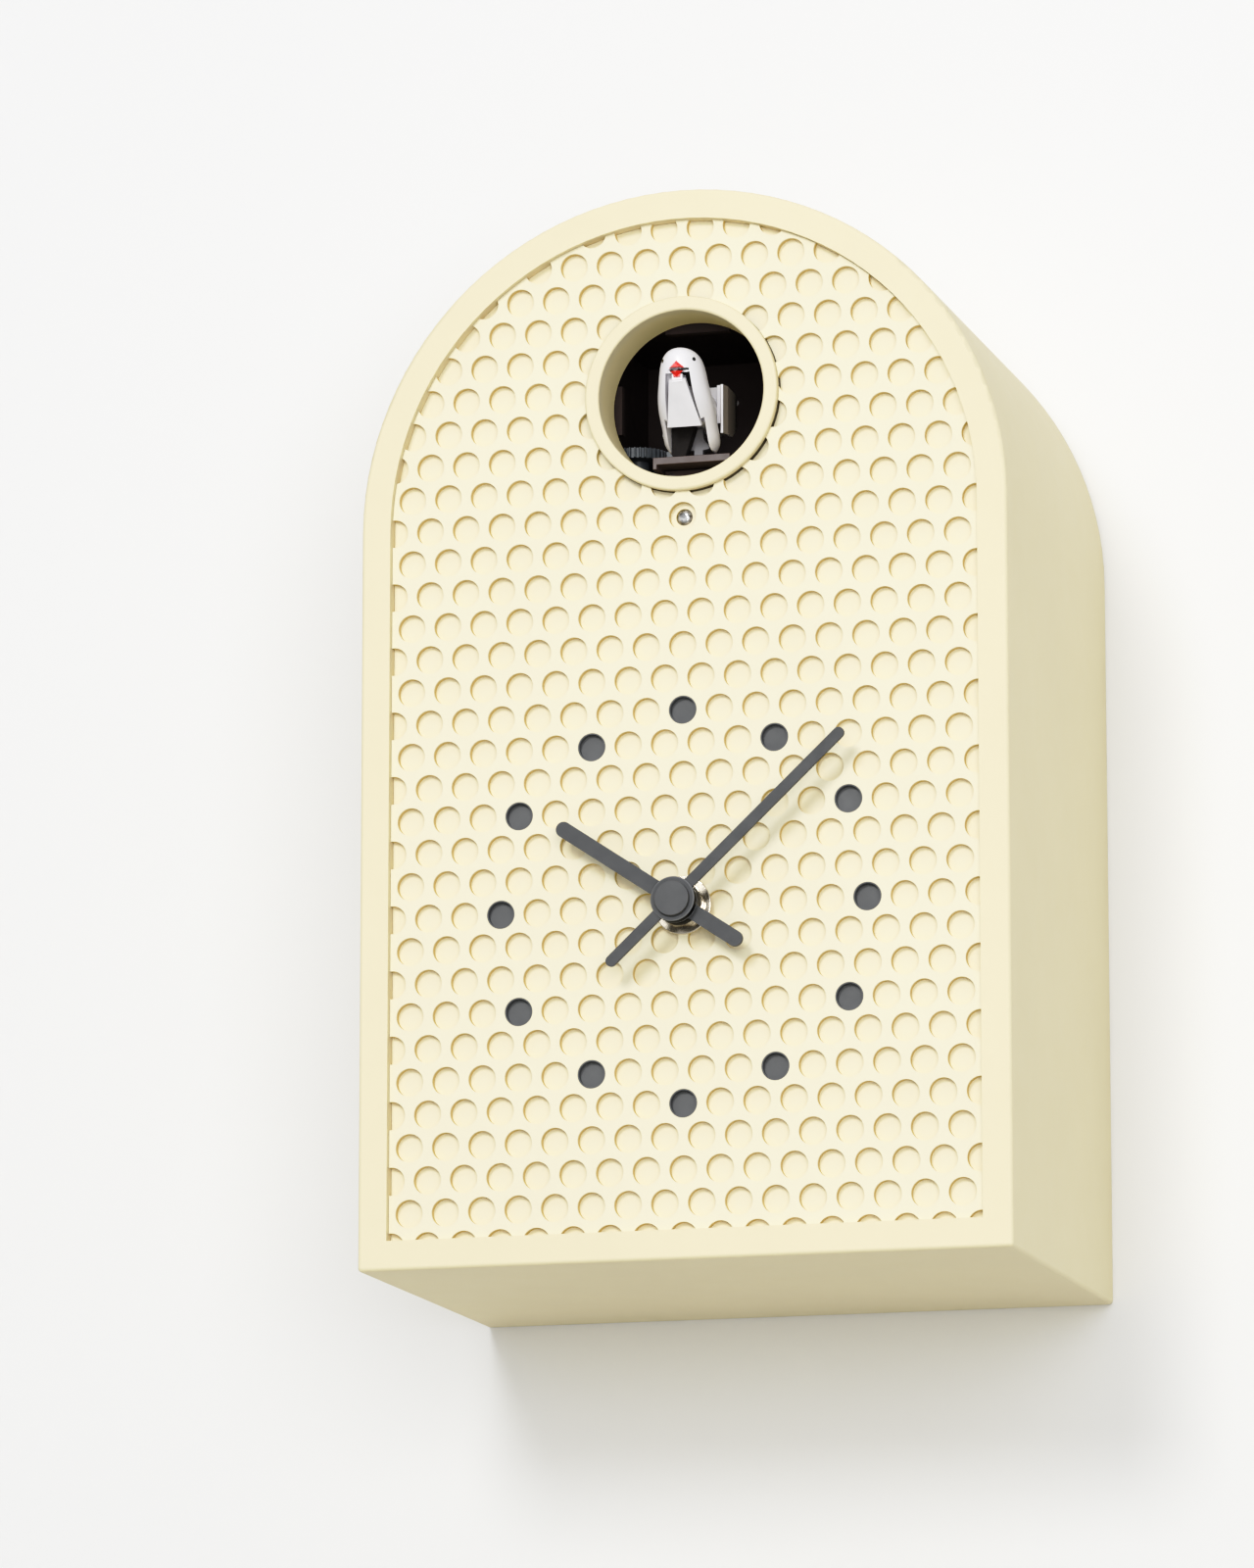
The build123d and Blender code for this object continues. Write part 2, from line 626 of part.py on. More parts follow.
def drive_motor():
    """Geared motor hung below the chassis floor."""
    top = at_window(CHASSIS_LOW) - CHASSIS_WALL
    can = upright(MOTOR_RADIUS, GEAR_X, MOTOR_DEPTH, top - 24, top)
    can = fillet(can.edges().group_by(Axis.Z)[0], 1.5)
    can += upright(2.9, GEAR_X, MOTOR_DEPTH, top, top + 2)
    return can + upright(4.0, GEAR_X, MOTOR_DEPTH, top - 26, top - 24)


def upright_gear(teeth, x, depth, low, high, phase):
    return Pos(x, PANEL_Y + depth, low) * extrude(gear_outline(teeth, GEAR_MODULE, phase), amount=high - low)


def drive_gear():
    """Upright gear that meshes with the carriage's rack, on its own pin in the chassis floor."""
    low, high = at_window(GEAR_HEIGHT[0]), at_window(GEAR_HEIGHT[1])
    body = upright_gear(GEAR_TEETH, GEAR_X, GEAR_DEPTH, low, high, 0)
    body += upright(3.5, GEAR_X, GEAR_DEPTH, at_window(CHASSIS_LOW) + 0.3, low)
    return body + upright(1.5, GEAR_X, GEAR_DEPTH, at_window(CHASSIS_LOW) - CHASSIS_WALL, low)


def motor_pinion():
    """Pinion and its shaft, driven by the geared motor."""
    low, high = at_window(GEAR_HEIGHT[0]), at_window(GEAR_HEIGHT[1])
    phase = -90 + 180 / PINION_TEETH
    body = upright_gear(PINION_TEETH, GEAR_X, MOTOR_DEPTH, low - 0.5, high + 0.5, phase)
    return body + upright(1.0, GEAR_X, MOTOR_DEPTH, at_window(CHASSIS_LOW) - 0.4, low)


# The carriage, bird and wings at rest
PLATFORM_DEPTH = (10.0, 58.0)
RACK_DEPTH = (24.5, 57.0)


def carriage_platform():
    """Channel-shaped platform with four lugs that run on the rails."""
    top = at_window(PLATFORM_TOP)
    half = PLATFORM_HALF
    plate = brick((-half, half), (PLATFORM_DEPTH[0], 30), (top - 2.2, top))
    plate += brick((-half + 0.7, 11), (29, PLATFORM_DEPTH[1]), (top - 2.2, top))
    plate += brick((-half, -half + 1.2), (PLATFORM_DEPTH[0], 30), (top - 3.6, top))
    plate += brick((half - 1.2, half), (PLATFORM_DEPTH[0], 30), (top - 3.6, top))
    rail = at_window(RAIL_Z)
    for x in (-RAIL_X, RAIL_X):
        lug = brick((x - 2.4, x + 2.4), (46, PLATFORM_DEPTH[1]), (rail - 2.2, top - 2))
        plate += lug
        plate -= disc(RAIL_RADIUS + 0.08, 45, PLATFORM_DEPTH[1] + 1, x, rail)
    return plate


def carriage_rack():
    """Toothed bar along the left edge of the carriage."""
    pitch = pi * GEAR_MODULE
    line = -PLATFORM_HALF - 0.2
    root = line + DEDENDUM * GEAR_MODULE
    tip = line - ADDENDUM * GEAR_MODULE
    corners = [(line + 3.0, RACK_DEPTH[0]), (root, RACK_DEPTH[0])]
    count = int((RACK_DEPTH[1] - RACK_DEPTH[0]) / pitch) - 1
    for index in range(count):
        middle = GEAR_DEPTH + (index + 0.5) * pitch
        for x, share in ((root, -TOOTH_ROOT), (tip, -TOOTH_TIP), (tip, TOOTH_TIP), (root, TOOTH_ROOT)):
            corners.append((x, middle + share * pitch / 2))
    corners += [(root, RACK_DEPTH[1]), (line + 3.0, RACK_DEPTH[1])]
    bar = make_face(Polyline(*corners, close=True))
    low, high = at_window(PLATFORM_TOP), at_window(GEAR_HEIGHT[1]) - 0.3
    return Pos(0, PANEL_Y, low) * extrude(bar, amount=high - low)


# Bird sections: height, half width, half depth and depth of the centre
BIRD_SECTIONS = (
    (-15.4, 6.9, 6.6, 12.4),
    (-9.2, 8.5, 7.8, 9.4),
    (-4.7, 8.6, 8.0, 5.9),
    (3.1, 7.6, 7.7, 1.7),
    (7.3, 6.9, 7.3, 0.6),
    (10.0, 6.1, 6.6, -0.1),
    (12.2, 4.5, 5.0, -0.9),
    (13.3, 2.4, 2.8, -1.4),
)
# Tail sections: depth, half width, half height and height of the centre
TAIL_SECTIONS = (
    (8.0, 7.2, 7.4, -3.0),
    (20.0, 6.6, 6.0, -2.0),
    (30.0, 4.6, 3.2, -2.5),
    (36.0, 3.4, 1.2, -4.0),
)
BELLY_TOP = (-6.0, 3.0)
BELLY_BOTTOM = (2.4, -9.5)
BEAK_Z = 6.2
BEAK_GAP = 0.25
BEAK_REACH = 1.6
BEAK_AXLE_DEPTH = -1.0
BEAK_AXLE_RADIUS = 0.8
EYE_ANGLE = 52.0
WING_HINGE = (8.3, 4.0)
WING_LUG_RADIUS = 0.9
WING_BARREL_RADIUS = 1.0
WING_PIN_RADIUS = 0.5
FRONT_LUG = (13.9, 15.7)
REAR_LUG = (29.2, 31.2)


def belly_plane():
    """Plane of the belly plate's front: its X is the clock's X and its Y climbs the sloping plate."""
    rise = (0, BELLY_TOP[0] - BELLY_BOTTOM[0], BELLY_TOP[1] - BELLY_BOTTOM[1])
    length = hypot(rise[1], rise[2])
    normal = (0, -rise[2] / length, rise[1] / length)
    foot = (0, PANEL_Y + BELLY_BOTTOM[0], at_window(BELLY_BOTTOM[1]))
    return Plane(origin=foot, x_dir=(1, 0, 0), z_dir=normal), length


def trapezium(low_half, high_half, low, high):
    corners = [(-low_half, low), (low_half, low), (high_half, high), (-high_half, high)]
    return make_face(Polyline(*corners, close=True))


def bird_body():
    """Hooded head and cape in one shell, with a slot at the front for the belly plate, and the tail."""
    hood = loft([Pos(0, PANEL_Y + depth, at_window(z)) * Ellipse(wide, deep)
                 for z, wide, deep, depth in BIRD_SECTIONS])
    tail = loft([facing(depth, 0, at_window(z)) * Ellipse(wide, tall)
                 for depth, wide, tall, z in TAIL_SECTIONS])
    body = hood + tail
    plane, length = belly_plane()
    slot = trapezium(6.2, 3.7, -8.0, length + 1.6)
    body -= extrude(plane * slot, amount=6) + extrude(plane * slot, amount=-4.0)
    body -= brick((-6.2, 6.2), (2.0, 20.0), (at_window(-16), at_window(-7.0)))
    swing = trapezium(5.9, 3.0, -0.5, length * 0.75)
    body -= extrude(plane * swing, amount=-7.5)
    z = at_window(WING_HINGE[1])
    for x in (-WING_HINGE[0], WING_HINGE[0]):
        for depth, low in ((FRONT_LUG, -4.5), (REAR_LUG, -8.0)):
            lug = brick(sorted((x * 0.2, x)), depth, (z + low, z + WING_LUG_RADIUS))
            lug += disc(WING_LUG_RADIUS, *depth, x, z)
            body += lug - disc(WING_PIN_RADIUS, *depth, x, z)
    body -= brick((-2.8, 2.8), (-9.0, -5.6), shifted((-3.4, -0.05), at_window(BEAK_Z)))
    body -= brick((-1.9, 1.9), (-5.7, 1.2), shifted((-4.3, -1.1), at_window(BEAK_Z)))
    body -= brick((-1.9, 1.9), (-2.2, 0.8), shifted((-1.3, 1.0), at_window(BEAK_Z)))
    body -= beak_axle(BEAK_AXLE_RADIUS + RUNNING, 3.45)
    return body - bird_upper_beak() - bird_eyes()


def beak_axle(radius, half_length):
    """Round bar along the axis that the belly rocks about."""
    middle = Pos(0, PANEL_Y + BEAK_AXLE_DEPTH, at_window(BEAK_Z))
    return middle * Rot(0, 90, 0) * Cylinder(radius, 2 * half_length)


def bird_belly():
    """Belly plate that carries the lower beak and rocks on an axle behind the mouth."""
    plane, length = belly_plane()
    plate = extrude(plane * trapezium(5.3, 2.5, 0, length), amount=-1.3)
    arm_back = BEAK_AXLE_DEPTH + BEAK_AXLE_RADIUS
    mouth = at_window(BEAK_Z)
    arm = brick((-1.6, 1.6), (BELLY_TOP[0] + 0.2, arm_back), (mouth - 3.8, mouth - 1.4))
    arm += brick((-1.6, 1.6), (arm_back - 2 * BEAK_AXLE_RADIUS, arm_back), (mouth - 2.8, mouth))
    return plate + arm + beak_axle(BEAK_AXLE_RADIUS, 3.4)


def beak_section(depth, half_width, side, height):
    """Triangle with one side along the mouth, above it or below it."""
    mouth = at_window(BEAK_Z) + side * BEAK_GAP
    corners = [(-half_width, mouth), (half_width, mouth), (0, at_window(BEAK_Z) + side * height)]
    return facing(depth) * make_face(Polyline(*corners, close=True))


def beak_half(side, height):
    """Half of the diamond-shaped beak, above the mouth (side 1) or below it (side -1)."""
    root = beak_section(BELLY_TOP[0] - 0.4, 2.4, side, height)
    nose = beak_section(BELLY_TOP[0] - 0.4 - BEAK_REACH, 1.2, side, 0.5 * height)
    return loft([root, nose])


def bird_upper_beak():
    height = shifted((0.3, 1.4), at_window(BEAK_Z))
    root = brick((-1.0, 1.0), (BELLY_TOP[0] - 0.5, BELLY_TOP[0] + 1.0), height)
    return beak_half(1, 2.85) + root


def bird_lower_beak():
    height = shifted((-2.3, -1.4), at_window(BEAK_Z))
    root = brick((-1.0, 1.0), (BELLY_TOP[0] - 0.5, BELLY_TOP[0] + 0.2), height)
    return beak_half(-1, 2.55) + root


def bird_eyes():
    """Short round pegs, almost flush with the sides of the head."""
    turned = Pos(4.29, PANEL_Y - 3.92, at_window(9.4)) * Rot(0, 0, EYE_ANGLE) * Rot(90, 0, 0)
    return pair(turned * Cylinder(0.6, 1.6))


def wing_right():
    """A thin cupped wing: a skin beside the body, turned in at its front edge, on a hinge barrel."""
    section = [(8.7, 12.0), (9.4, 12.0), (10.2, 15.0), (10.2, 23.0), (9.2, 28.8), (8.5, 28.8),
               (9.5, 23.0), (9.5, 13.5), (7.3, 13.5), (7.3, 12.9), (8.3, 12.9)]
    x, z = WING_HINGE[0], at_window(WING_HINGE[1])
    top, low = at_window(5.3), at_window(-9.8)
    plan = make_face(Polyline(*[(side, PANEL_Y + depth) for side, depth in section], close=True))
    shell = Pos(0, 0, low) * extrude(plan, amount=top - low)
    profile = [(11.0, low), (20.0, low + 0.6), (29.0, low + 6.8), (29.0, top - 0.7), (13.5, top), (11.0, top)]
    across = Plane(origin=(0, 0, 0), x_dir=(0, 1, 0), z_dir=(1, 0, 0))
    side_face = make_face(Polyline(*[(PANEL_Y + depth, height) for depth, height in profile], close=True))
    shell = shell & extrude(across * side_face, amount=20)
    shell -= brick((7.0, 8.5), (12.5, 14.0), (low, at_window(-6.5)))
    barrel = (FRONT_LUG[1] + 0.3, REAR_LUG[0] - 0.3)
    shell += disc(WING_BARREL_RADIUS, *barrel, x, z)
    shell += brick((x, 9.6), (barrel[0], 24.0), (z - 0.6, z + 0.6))
    return shell - disc(WING_PIN_RADIUS + RUNNING, *barrel, x, z)


def wing_left():
    return mirrored(wing_right())


def wing_pins():
    return pair(disc(WING_PIN_RADIUS, FRONT_LUG[0], REAR_LUG[1], WING_HINGE[0], at_window(WING_HINGE[1])))


def bird_pedestal():
    """Dark tapering post under the left of the bird."""
    low = at_window(PLATFORM_TOP)
    foot = Pos(-3.8, PANEL_Y + 11.6, low) * Rectangle(4.2, 3.2)
    top = Pos(-2.4, PANEL_Y + 11.6, low + 9.0) * Rectangle(7.2, 3.6)
    return loft([foot, top])


def bird_stand():
    """Light grey bracket under the right of the bird: slim neck, flared skirt, slim foot."""
    right = [(1.4, 0), (1.4, 2.3), (3.4, 2.6), (3.4, 3.6), (1.7, 5.8), (1.35, 9.0)]
    left = [(-x, z) for x, z in reversed(right)]
    outline = Pos(1.15, at_window(PLATFORM_TOP)) * make_face(Polyline(*right, *left, close=True))
    return slab(outline, 14.0, 16.5)


# ---------------------------------------------------------------- sound module, speaker and batteries

MODULE_HALF = 30.0
MODULE_Z = (DIAL_Z + 44.0, DIAL_Z + 108.0)
MODULE_DEPTH = (8.0, 26.0)
MODULE_WALL = 1.6
KNOB_PLACE = (-16.0, DIAL_Z + 58.0)
SLIDER_PLACE = (2.0, DIAL_Z + 58.0)
BUTTON_PLACE = (18.0, DIAL_Z + 58.0)


def sound_module_case():
    low, high = MODULE_Z
    case = brick((-MODULE_HALF, MODULE_HALF), (MODULE_DEPTH[0], MODULE_DEPTH[1] - MODULE_WALL), (low, high))
    wall = MODULE_WALL
    inner = (MODULE_DEPTH[0] + wall, MODULE_DEPTH[1] - wall)
    case -= brick((wall - MODULE_HALF, MODULE_HALF - wall), inner, (low + wall, high - wall))
    for x in (-22, 22):
        case += disc(2.5, inner[0] - 0.1, 17.0, x, high - 10)
    return case


def sound_module_cover():
    low, high = MODULE_Z
    back = MODULE_DEPTH[1]
    cover = brick((-MODULE_HALF, MODULE_HALF), (back - MODULE_WALL, back), (low, high))
    cover -= disc(2.6, back - MODULE_WALL, back, *KNOB_PLACE)
    cover -= slab(Rectangle(10, 3.2), back - MODULE_WALL, back, *SLIDER_PLACE)
    return cover - disc(2.7, back - MODULE_WALL, back, *BUTTON_PLACE)


def sound_board():
    """Circuit board on two posts, with the chip, two capacitors and the switch bodies."""
    low, high = MODULE_Z
    depth = (17.0, 18.4)
    board = brick((-27, 27), depth, (low + 3, high - 3))
    board += brick((-7, 7), (depth[1], depth[1] + 1.5), (low + 36, low + 46))
    for x in (-18, 18):
        board += disc(3.0, depth[1], depth[1] + 5.0, x, low + 44)
    board += brick((-21, -11), (depth[1], depth[1] + 2), shifted((-4, 4), KNOB_PLACE[1]))
    board += brick((-5, 9), (depth[1], depth[1] + 2), shifted((-3, 3), SLIDER_PLACE[1]))
    return board + brick((14.5, 21.5), (depth[1], depth[1] + 2), shifted((-3.5, 3.5), BUTTON_PLACE[1]))


def volume_dial():
    stem = disc(2.4, 20.6, MODULE_DEPTH[1] + 0.5, *KNOB_PLACE)
    dial = disc(6.0, MODULE_DEPTH[1] + 0.3, MODULE_DEPTH[1] + 3.5, *KNOB_PLACE)
    x, z = KNOB_PLACE
    mark = brick((x - 0.4, x + 0.4), (MODULE_DEPTH[1] + 3.0, MODULE_DEPTH[1] + 3.6), (z + 2, z + 5.9))
    return stem + dial - mark


def mode_slider():
    return slab(Rectangle(3.6, 2.6), 20.6, MODULE_DEPTH[1] + 2.5, *SLIDER_PLACE)


def demo_button():
    return disc(2.5, 22.3, MODULE_DEPTH[1] + 2.4, *BUTTON_PLACE)


def speaker():
    """Small loudspeaker against the back panel: basket, cone and magnet."""
    face = BACK_FACE - BACK_THICKNESS
    basket = ring(SPEAKER_RADIUS, SPEAKER_RADIUS - 3, face - 2, face, 0, SPEAKER_Z)
    wide = facing(face - 2, 0, SPEAKER_Z) * Circle(SPEAKER_RADIUS - 1)
    narrow = facing(face - 10, 0, SPEAKER_Z) * Circle(9)
    inner_wide = facing(face - 2, 0, SPEAKER_Z) * Circle(SPEAKER_RADIUS - 3)
    inner_narrow = facing(face - 8.5, 0, SPEAKER_Z) * Circle(8)
    basket += loft([wide, narrow]) - loft([inner_wide, inner_narrow])
    cone = disc(SPEAKER_RADIUS - 3.3, face - 1.5, face - 0.9, 0, SPEAKER_Z)
    cone += disc(6, face - 2, face - 0.9, 0, SPEAKER_Z)
    magnet = disc(11.5, face - 16, face - 10, 0, SPEAKER_Z)
    return group([basket, cone, magnet])


CELL_R = 13.0
BIG_CELL_LENGTH = 50.0
TRAY_DEPTH = (70.0, 102.0)
TRAY_WALL = 2.0
TRAY_FLOOR = BASE_Z + WALL


def cell_axis(x):
    return Pos(x, PANEL_Y + sum(TRAY_DEPTH) / 2, TRAY_FLOOR + 2.2 + CELL_R) * Rot(0, 90, 0)


def battery_tray():
    """Open tray for two cells in line, screwed to the case's floor."""
    reach = BIG_CELL_LENGTH + 4.5
    rim = TRAY_FLOOR + 20
    tray = brick((-reach, reach), TRAY_DEPTH, (TRAY_FLOOR, rim))
    inner = (TRAY_DEPTH[0] + TRAY_WALL, TRAY_DEPTH[1] - TRAY_WALL)
    return tray - brick((TRAY_WALL - reach, reach - TRAY_WALL), inner, (TRAY_FLOOR + TRAY_WALL, rim))


def battery_cells():
    cells = []
    for x in (-BIG_CELL_LENGTH / 2, BIG_CELL_LENGTH / 2):
        lay = cell_axis(x)
        cell = lay * Pos(0, 0, -0.8) * Cylinder(CELL_R, BIG_CELL_LENGTH - 1.8)
        cell = fillet(cell.edges().filter_by(GeomType.CIRCLE), 1.0)
        cells.append(cell + lay * Pos(0, 0, BIG_CELL_LENGTH / 2 - 0.9) * Cylinder(3.2, 1.6))
    return group(cells)


def battery_contacts():
    """Sprung plates at the two ends of the row of cells."""
    reach = BIG_CELL_LENGTH + 0.5
    middle = sum(TRAY_DEPTH) / 2
    height = (TRAY_FLOOR + 5, TRAY_FLOOR + 22)
    return pair(brick((reach, reach + 0.7), (middle - 7, middle + 7), height))


SUBPARTS = [
    case_shell, front_panel, window_collar, panel_battens, hour_markers, back_panel, back_panel_screws,
    hanger_plate, hanger_screws, light_sensor,
    movement_front_case, movement_rear_case, threaded_bushing, dial_washer, dial_nut,
    stepper_coil, stepper_stator, movement_board, movement_cell, movement_contacts,
    hour_hand, hour_wheel, minute_hand, minute_cannon, hand_cap, motion_wheel, set_knob,
    stepper_rotor, transfer_wheel, third_wheel, centre_wheel,
    cuckoo_chassis, chassis_screws, guide_rails, drive_motor, motor_pinion, drive_gear,
    carriage_platform, carriage_rack, bird_pedestal, bird_stand, bird_body, bird_upper_beak, bird_eyes,
    bird_belly, bird_lower_beak, wing_left, wing_right, wing_pins,
    sound_module_case, sound_module_cover, sound_board, mode_slider, volume_dial, demo_button,
    speaker, battery_tray, battery_cells, battery_contacts,
]

os.makedirs("parts", exist_ok=True)
for subpart in SUBPARTS:
    export_step(subpart(), f"parts/{subpart.__name__}.step")
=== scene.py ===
"""Looks of the wall cuckoo clock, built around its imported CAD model.

Metres, in the CAD's frame: X to the right, Y into the wall, Z up, with the wall plane at y = 0.
"""

import json
import math

import bpy
from mathutils import Matrix, Vector


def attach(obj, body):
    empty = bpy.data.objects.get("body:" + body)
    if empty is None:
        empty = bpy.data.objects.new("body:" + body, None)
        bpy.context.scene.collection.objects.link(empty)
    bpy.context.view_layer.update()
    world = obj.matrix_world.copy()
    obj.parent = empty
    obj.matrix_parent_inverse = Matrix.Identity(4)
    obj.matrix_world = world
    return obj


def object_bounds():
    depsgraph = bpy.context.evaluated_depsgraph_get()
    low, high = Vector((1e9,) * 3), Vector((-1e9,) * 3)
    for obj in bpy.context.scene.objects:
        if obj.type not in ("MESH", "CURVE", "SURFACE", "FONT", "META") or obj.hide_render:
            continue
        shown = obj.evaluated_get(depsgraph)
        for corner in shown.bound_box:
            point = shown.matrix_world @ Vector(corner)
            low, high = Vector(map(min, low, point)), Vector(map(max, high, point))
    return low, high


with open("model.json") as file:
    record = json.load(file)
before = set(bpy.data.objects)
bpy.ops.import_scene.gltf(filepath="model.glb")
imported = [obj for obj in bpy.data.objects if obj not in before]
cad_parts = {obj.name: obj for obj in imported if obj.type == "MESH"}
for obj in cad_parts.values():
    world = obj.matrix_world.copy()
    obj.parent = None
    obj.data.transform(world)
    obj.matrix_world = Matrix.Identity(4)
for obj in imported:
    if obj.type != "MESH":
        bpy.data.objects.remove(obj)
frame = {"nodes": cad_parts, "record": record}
cad_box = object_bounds()
NODES = frame["nodes"]

MM = 0.001
PANEL_Y = -0.133
DIAL_Z = -0.180
WINDOW_Z = -0.024

# The bird, in millimetres. The belly plate's foot is (depth behind the panel face, height above the
# window's centre), and its rise is the run of the plate from there.
BELLY_FOOT = (2.4, -9.5)
BELLY_RISE = (-8.4, 12.5)

# The right side of this slot is painted shade on the bird's body.
# The slot that the belly plate rocks in: half its width at the foot, how fast that narrows, its depth
# below the plate, and its length from the plate's foot
SLOT_FOOT = 6.25
SLOT_TAPER = 0.1014
SLOT_DEPTH = 4.1
SLOT_LENGTH = 16.8

# The mouth's line on the beak and the crease beside it on the body are painted shade.
# The mouth's height, half the thickness of its line, the depth of its corners and how far its line droops
# for each millimetre in front of them; the crease beside it is (middle, half length) across the bird
MOUTH = 6.2
MOUTH_LINE = 0.42
MOUTH_DEPTH = -4.6
MOUTH_DROOP = 0.14
# The crease beside the mouth is painted shade.
CREASE = (2.5, 1.1)
CREASE_LINE = 0.35

# Depths over which the painted shade on a wing's flank darkens, and over which the whole wing takes the
# flank's shaded colour
WING_DUSK = (17.0, 29.0)
WING_REAR = (22.0, 25.0)


# ---------------------------------------------------------------- materials


class Nodes:
    """A material's node tree, with short calls for the nodes that the finishes use."""

    def __init__(self, name):
        self.material = bpy.data.materials.new(name)
        self.material.use_nodes = True
        self.tree = self.material.node_tree
        self.shader = self.tree.nodes["Principled BSDF"]
        self.place = self.add("ShaderNodeTexCoord").outputs["Object"]

    def add(self, kind, **settings):
        node = self.tree.nodes.new(kind)
        for key, value in settings.items():
            setattr(node, key, value)
        return node

    def link(self, source, target):
        self.tree.links.new(source, target)

    def stretched(self, stretch):
        mapping = self.add("ShaderNodeMapping")
        mapping.inputs["Scale"].default_value = stretch
        self.link(self.place, mapping.inputs["Vector"])
        return mapping.outputs["Vector"]

    def noise(self, size_mm, detail=3.0, roughness=0.5, stretch=None):
        """Noise whose features are about this size."""
        node = self.add("ShaderNodeTexNoise")
        node.inputs["Scale"].default_value = 1.0 / (size_mm * MM)
        node.inputs["Detail"].default_value = detail
        node.inputs["Roughness"].default_value = roughness
        self.link(self.stretched(stretch) if stretch else self.place, node.inputs["Vector"])
        return node.outputs["Fac"]

    def between(self, factor, low, high):
        """Factor from 0.3 to 0.7 spread from low to high."""
        node = self.add("ShaderNodeMapRange")
        node.inputs["From Min"].default_value = 0.3
        node.inputs["From Max"].default_value = 0.7
        node.inputs["To Min"].default_value = low
        node.inputs["To Max"].default_value = high
        self.link(factor, node.inputs["Value"])
        return node.outputs["Result"]

    def mixed(self, factor, first, second):
        """Colour between two colours, either of them a socket or a tuple."""
        node = self.add("ShaderNodeMix", data_type="RGBA")
        for socket, value in (("A", first), ("B", second)):
            target = [s for s in node.inputs if s.name == socket and s.type == "RGBA"][0]
            if isinstance(value, tuple):
                target.default_value = (*value, 1.0)
            else:
                self.link(value, target)
        if isinstance(factor, float):
            node.inputs["Factor"].default_value = factor
        else:
            self.link(factor, node.inputs["Factor"])
        return [s for s in node.outputs if s.type == "RGBA"][0]

    def ramp(self, value, low, high):
        """0 below low, 1 above high, straight in between."""
        node = self.add("ShaderNodeMapRange")
        node.inputs["From Min"].default_value = low
        node.inputs["From Max"].default_value = high
        self.link(value, node.inputs["Value"])
        return node.outputs["Result"]

    def maths(self, operation, *values):
        node = self.add("ShaderNodeMath", operation=operation)
        for index, value in enumerate(values):
            if isinstance(value, float):
                node.inputs[index].default_value = value
            else:
                self.link(value, node.inputs[index])
        return node.outputs["Value"]

    def axis(self, name):
        """One coordinate of the shaded point, in the part's frame."""
        split = self.add("ShaderNodeSeparateXYZ")
        self.link(self.place, split.inputs["Vector"])
        return split.outputs[name]

    def facing(self, name):
        """One component of the surface's own direction."""
        split = self.add("ShaderNodeSeparateXYZ")
        self.link(self.add("ShaderNodeTexCoord").outputs["Normal"], split.inputs["Vector"])
        return split.outputs[name]

    def radius(self, height):
        """Distance from an axis along Y that passes through x = 0 at this height."""
        z = self.maths("SUBTRACT", self.axis("Z"), height)
        x = self.axis("X")
        squares = self.maths("ADD", self.maths("MULTIPLY", x, x), self.maths("MULTIPLY", z, z))
        return self.maths("SQRT", squares)

    def bump(self, height, strength, depth_mm, before=None):
        node = self.add("ShaderNodeBump")
        node.inputs["Strength"].default_value = strength
        node.inputs["Distance"].default_value = depth_mm * MM
        self.link(height, node.inputs["Height"])
        if before is not None:
            self.link(before, node.inputs["Normal"])
        return node.outputs["Normal"]

    def set(self, **values):
        """Sets or links the shader's sockets; an underscore stands for a space."""
        for key, value in values.items():
            socket = self.shader.inputs[key.replace("_", " ")]
            if isinstance(value, bpy.types.NodeSocket):
                self.link(value, socket)
            elif isinstance(value, tuple) and len(value) == 3:
                socket.default_value = (*value, 1.0)
            else:
                socket.default_value = value


def shade(colour, factor):
    return tuple(min(1.0, c * factor) for c in colour)


def lacquer(name, colour, roughness=0.58, recess_shade=None, recess_shade_mm=(0.0, 0.9)):
    """Sprayed satin lacquer: a faint orange peel, a barely uneven sheen and, where asked, painted shade in a
    darker, warmer tone on the walls of its recesses.
    """
    m = Nodes(name)
    cloud = m.noise(38.0, 2.0)
    tone = m.mixed(m.between(cloud, 0.0, 1.0), shade(colour, 0.985), shade(colour, 1.01))
    if recess_shade:
        # Painted shade: walls deeper than the panel's face take the darker, warmer shade colour
        deep = m.ramp(m.axis("Y"), PANEL_Y + recess_shade_mm[0] * MM, PANEL_Y + recess_shade_mm[1] * MM)
        wall = m.maths("LESS_THAN", m.maths("ABSOLUTE", m.facing("Y")), 0.7)
        tone = m.mixed(m.maths("MULTIPLY", deep, wall), tone, recess_shade)
    m.set(Base_Color=tone)
    m.set(Roughness=m.between(m.noise(9.0, 3.0), roughness - 0.03, roughness + 0.04))
    m.set(Normal=m.bump(m.noise(1.3, 2.0), 0.12, 0.012), Specular_IOR_Level=0.4)
    return m.material


def moulded(name, colour, roughness=0.5, grain_mm=0.35, grain=0.25, coat=0.0, gloss=0.5):
    """Injection moulding with a fine spark-eroded grain."""
    m = Nodes(name)
    m.set(Base_Color=m.mixed(m.between(m.noise(14.0), 0.0, 1.0), shade(colour, 0.9), shade(colour, 1.08)))
    m.set(Roughness=m.between(m.noise(4.0), roughness - 0.06, roughness + 0.06))
    m.set(Normal=m.bump(m.noise(grain_mm, 2.0), grain, 0.02), Coat_Weight=coat, Coat_Roughness=0.12)
    m.set(Specular_IOR_Level=gloss)
    return m.material


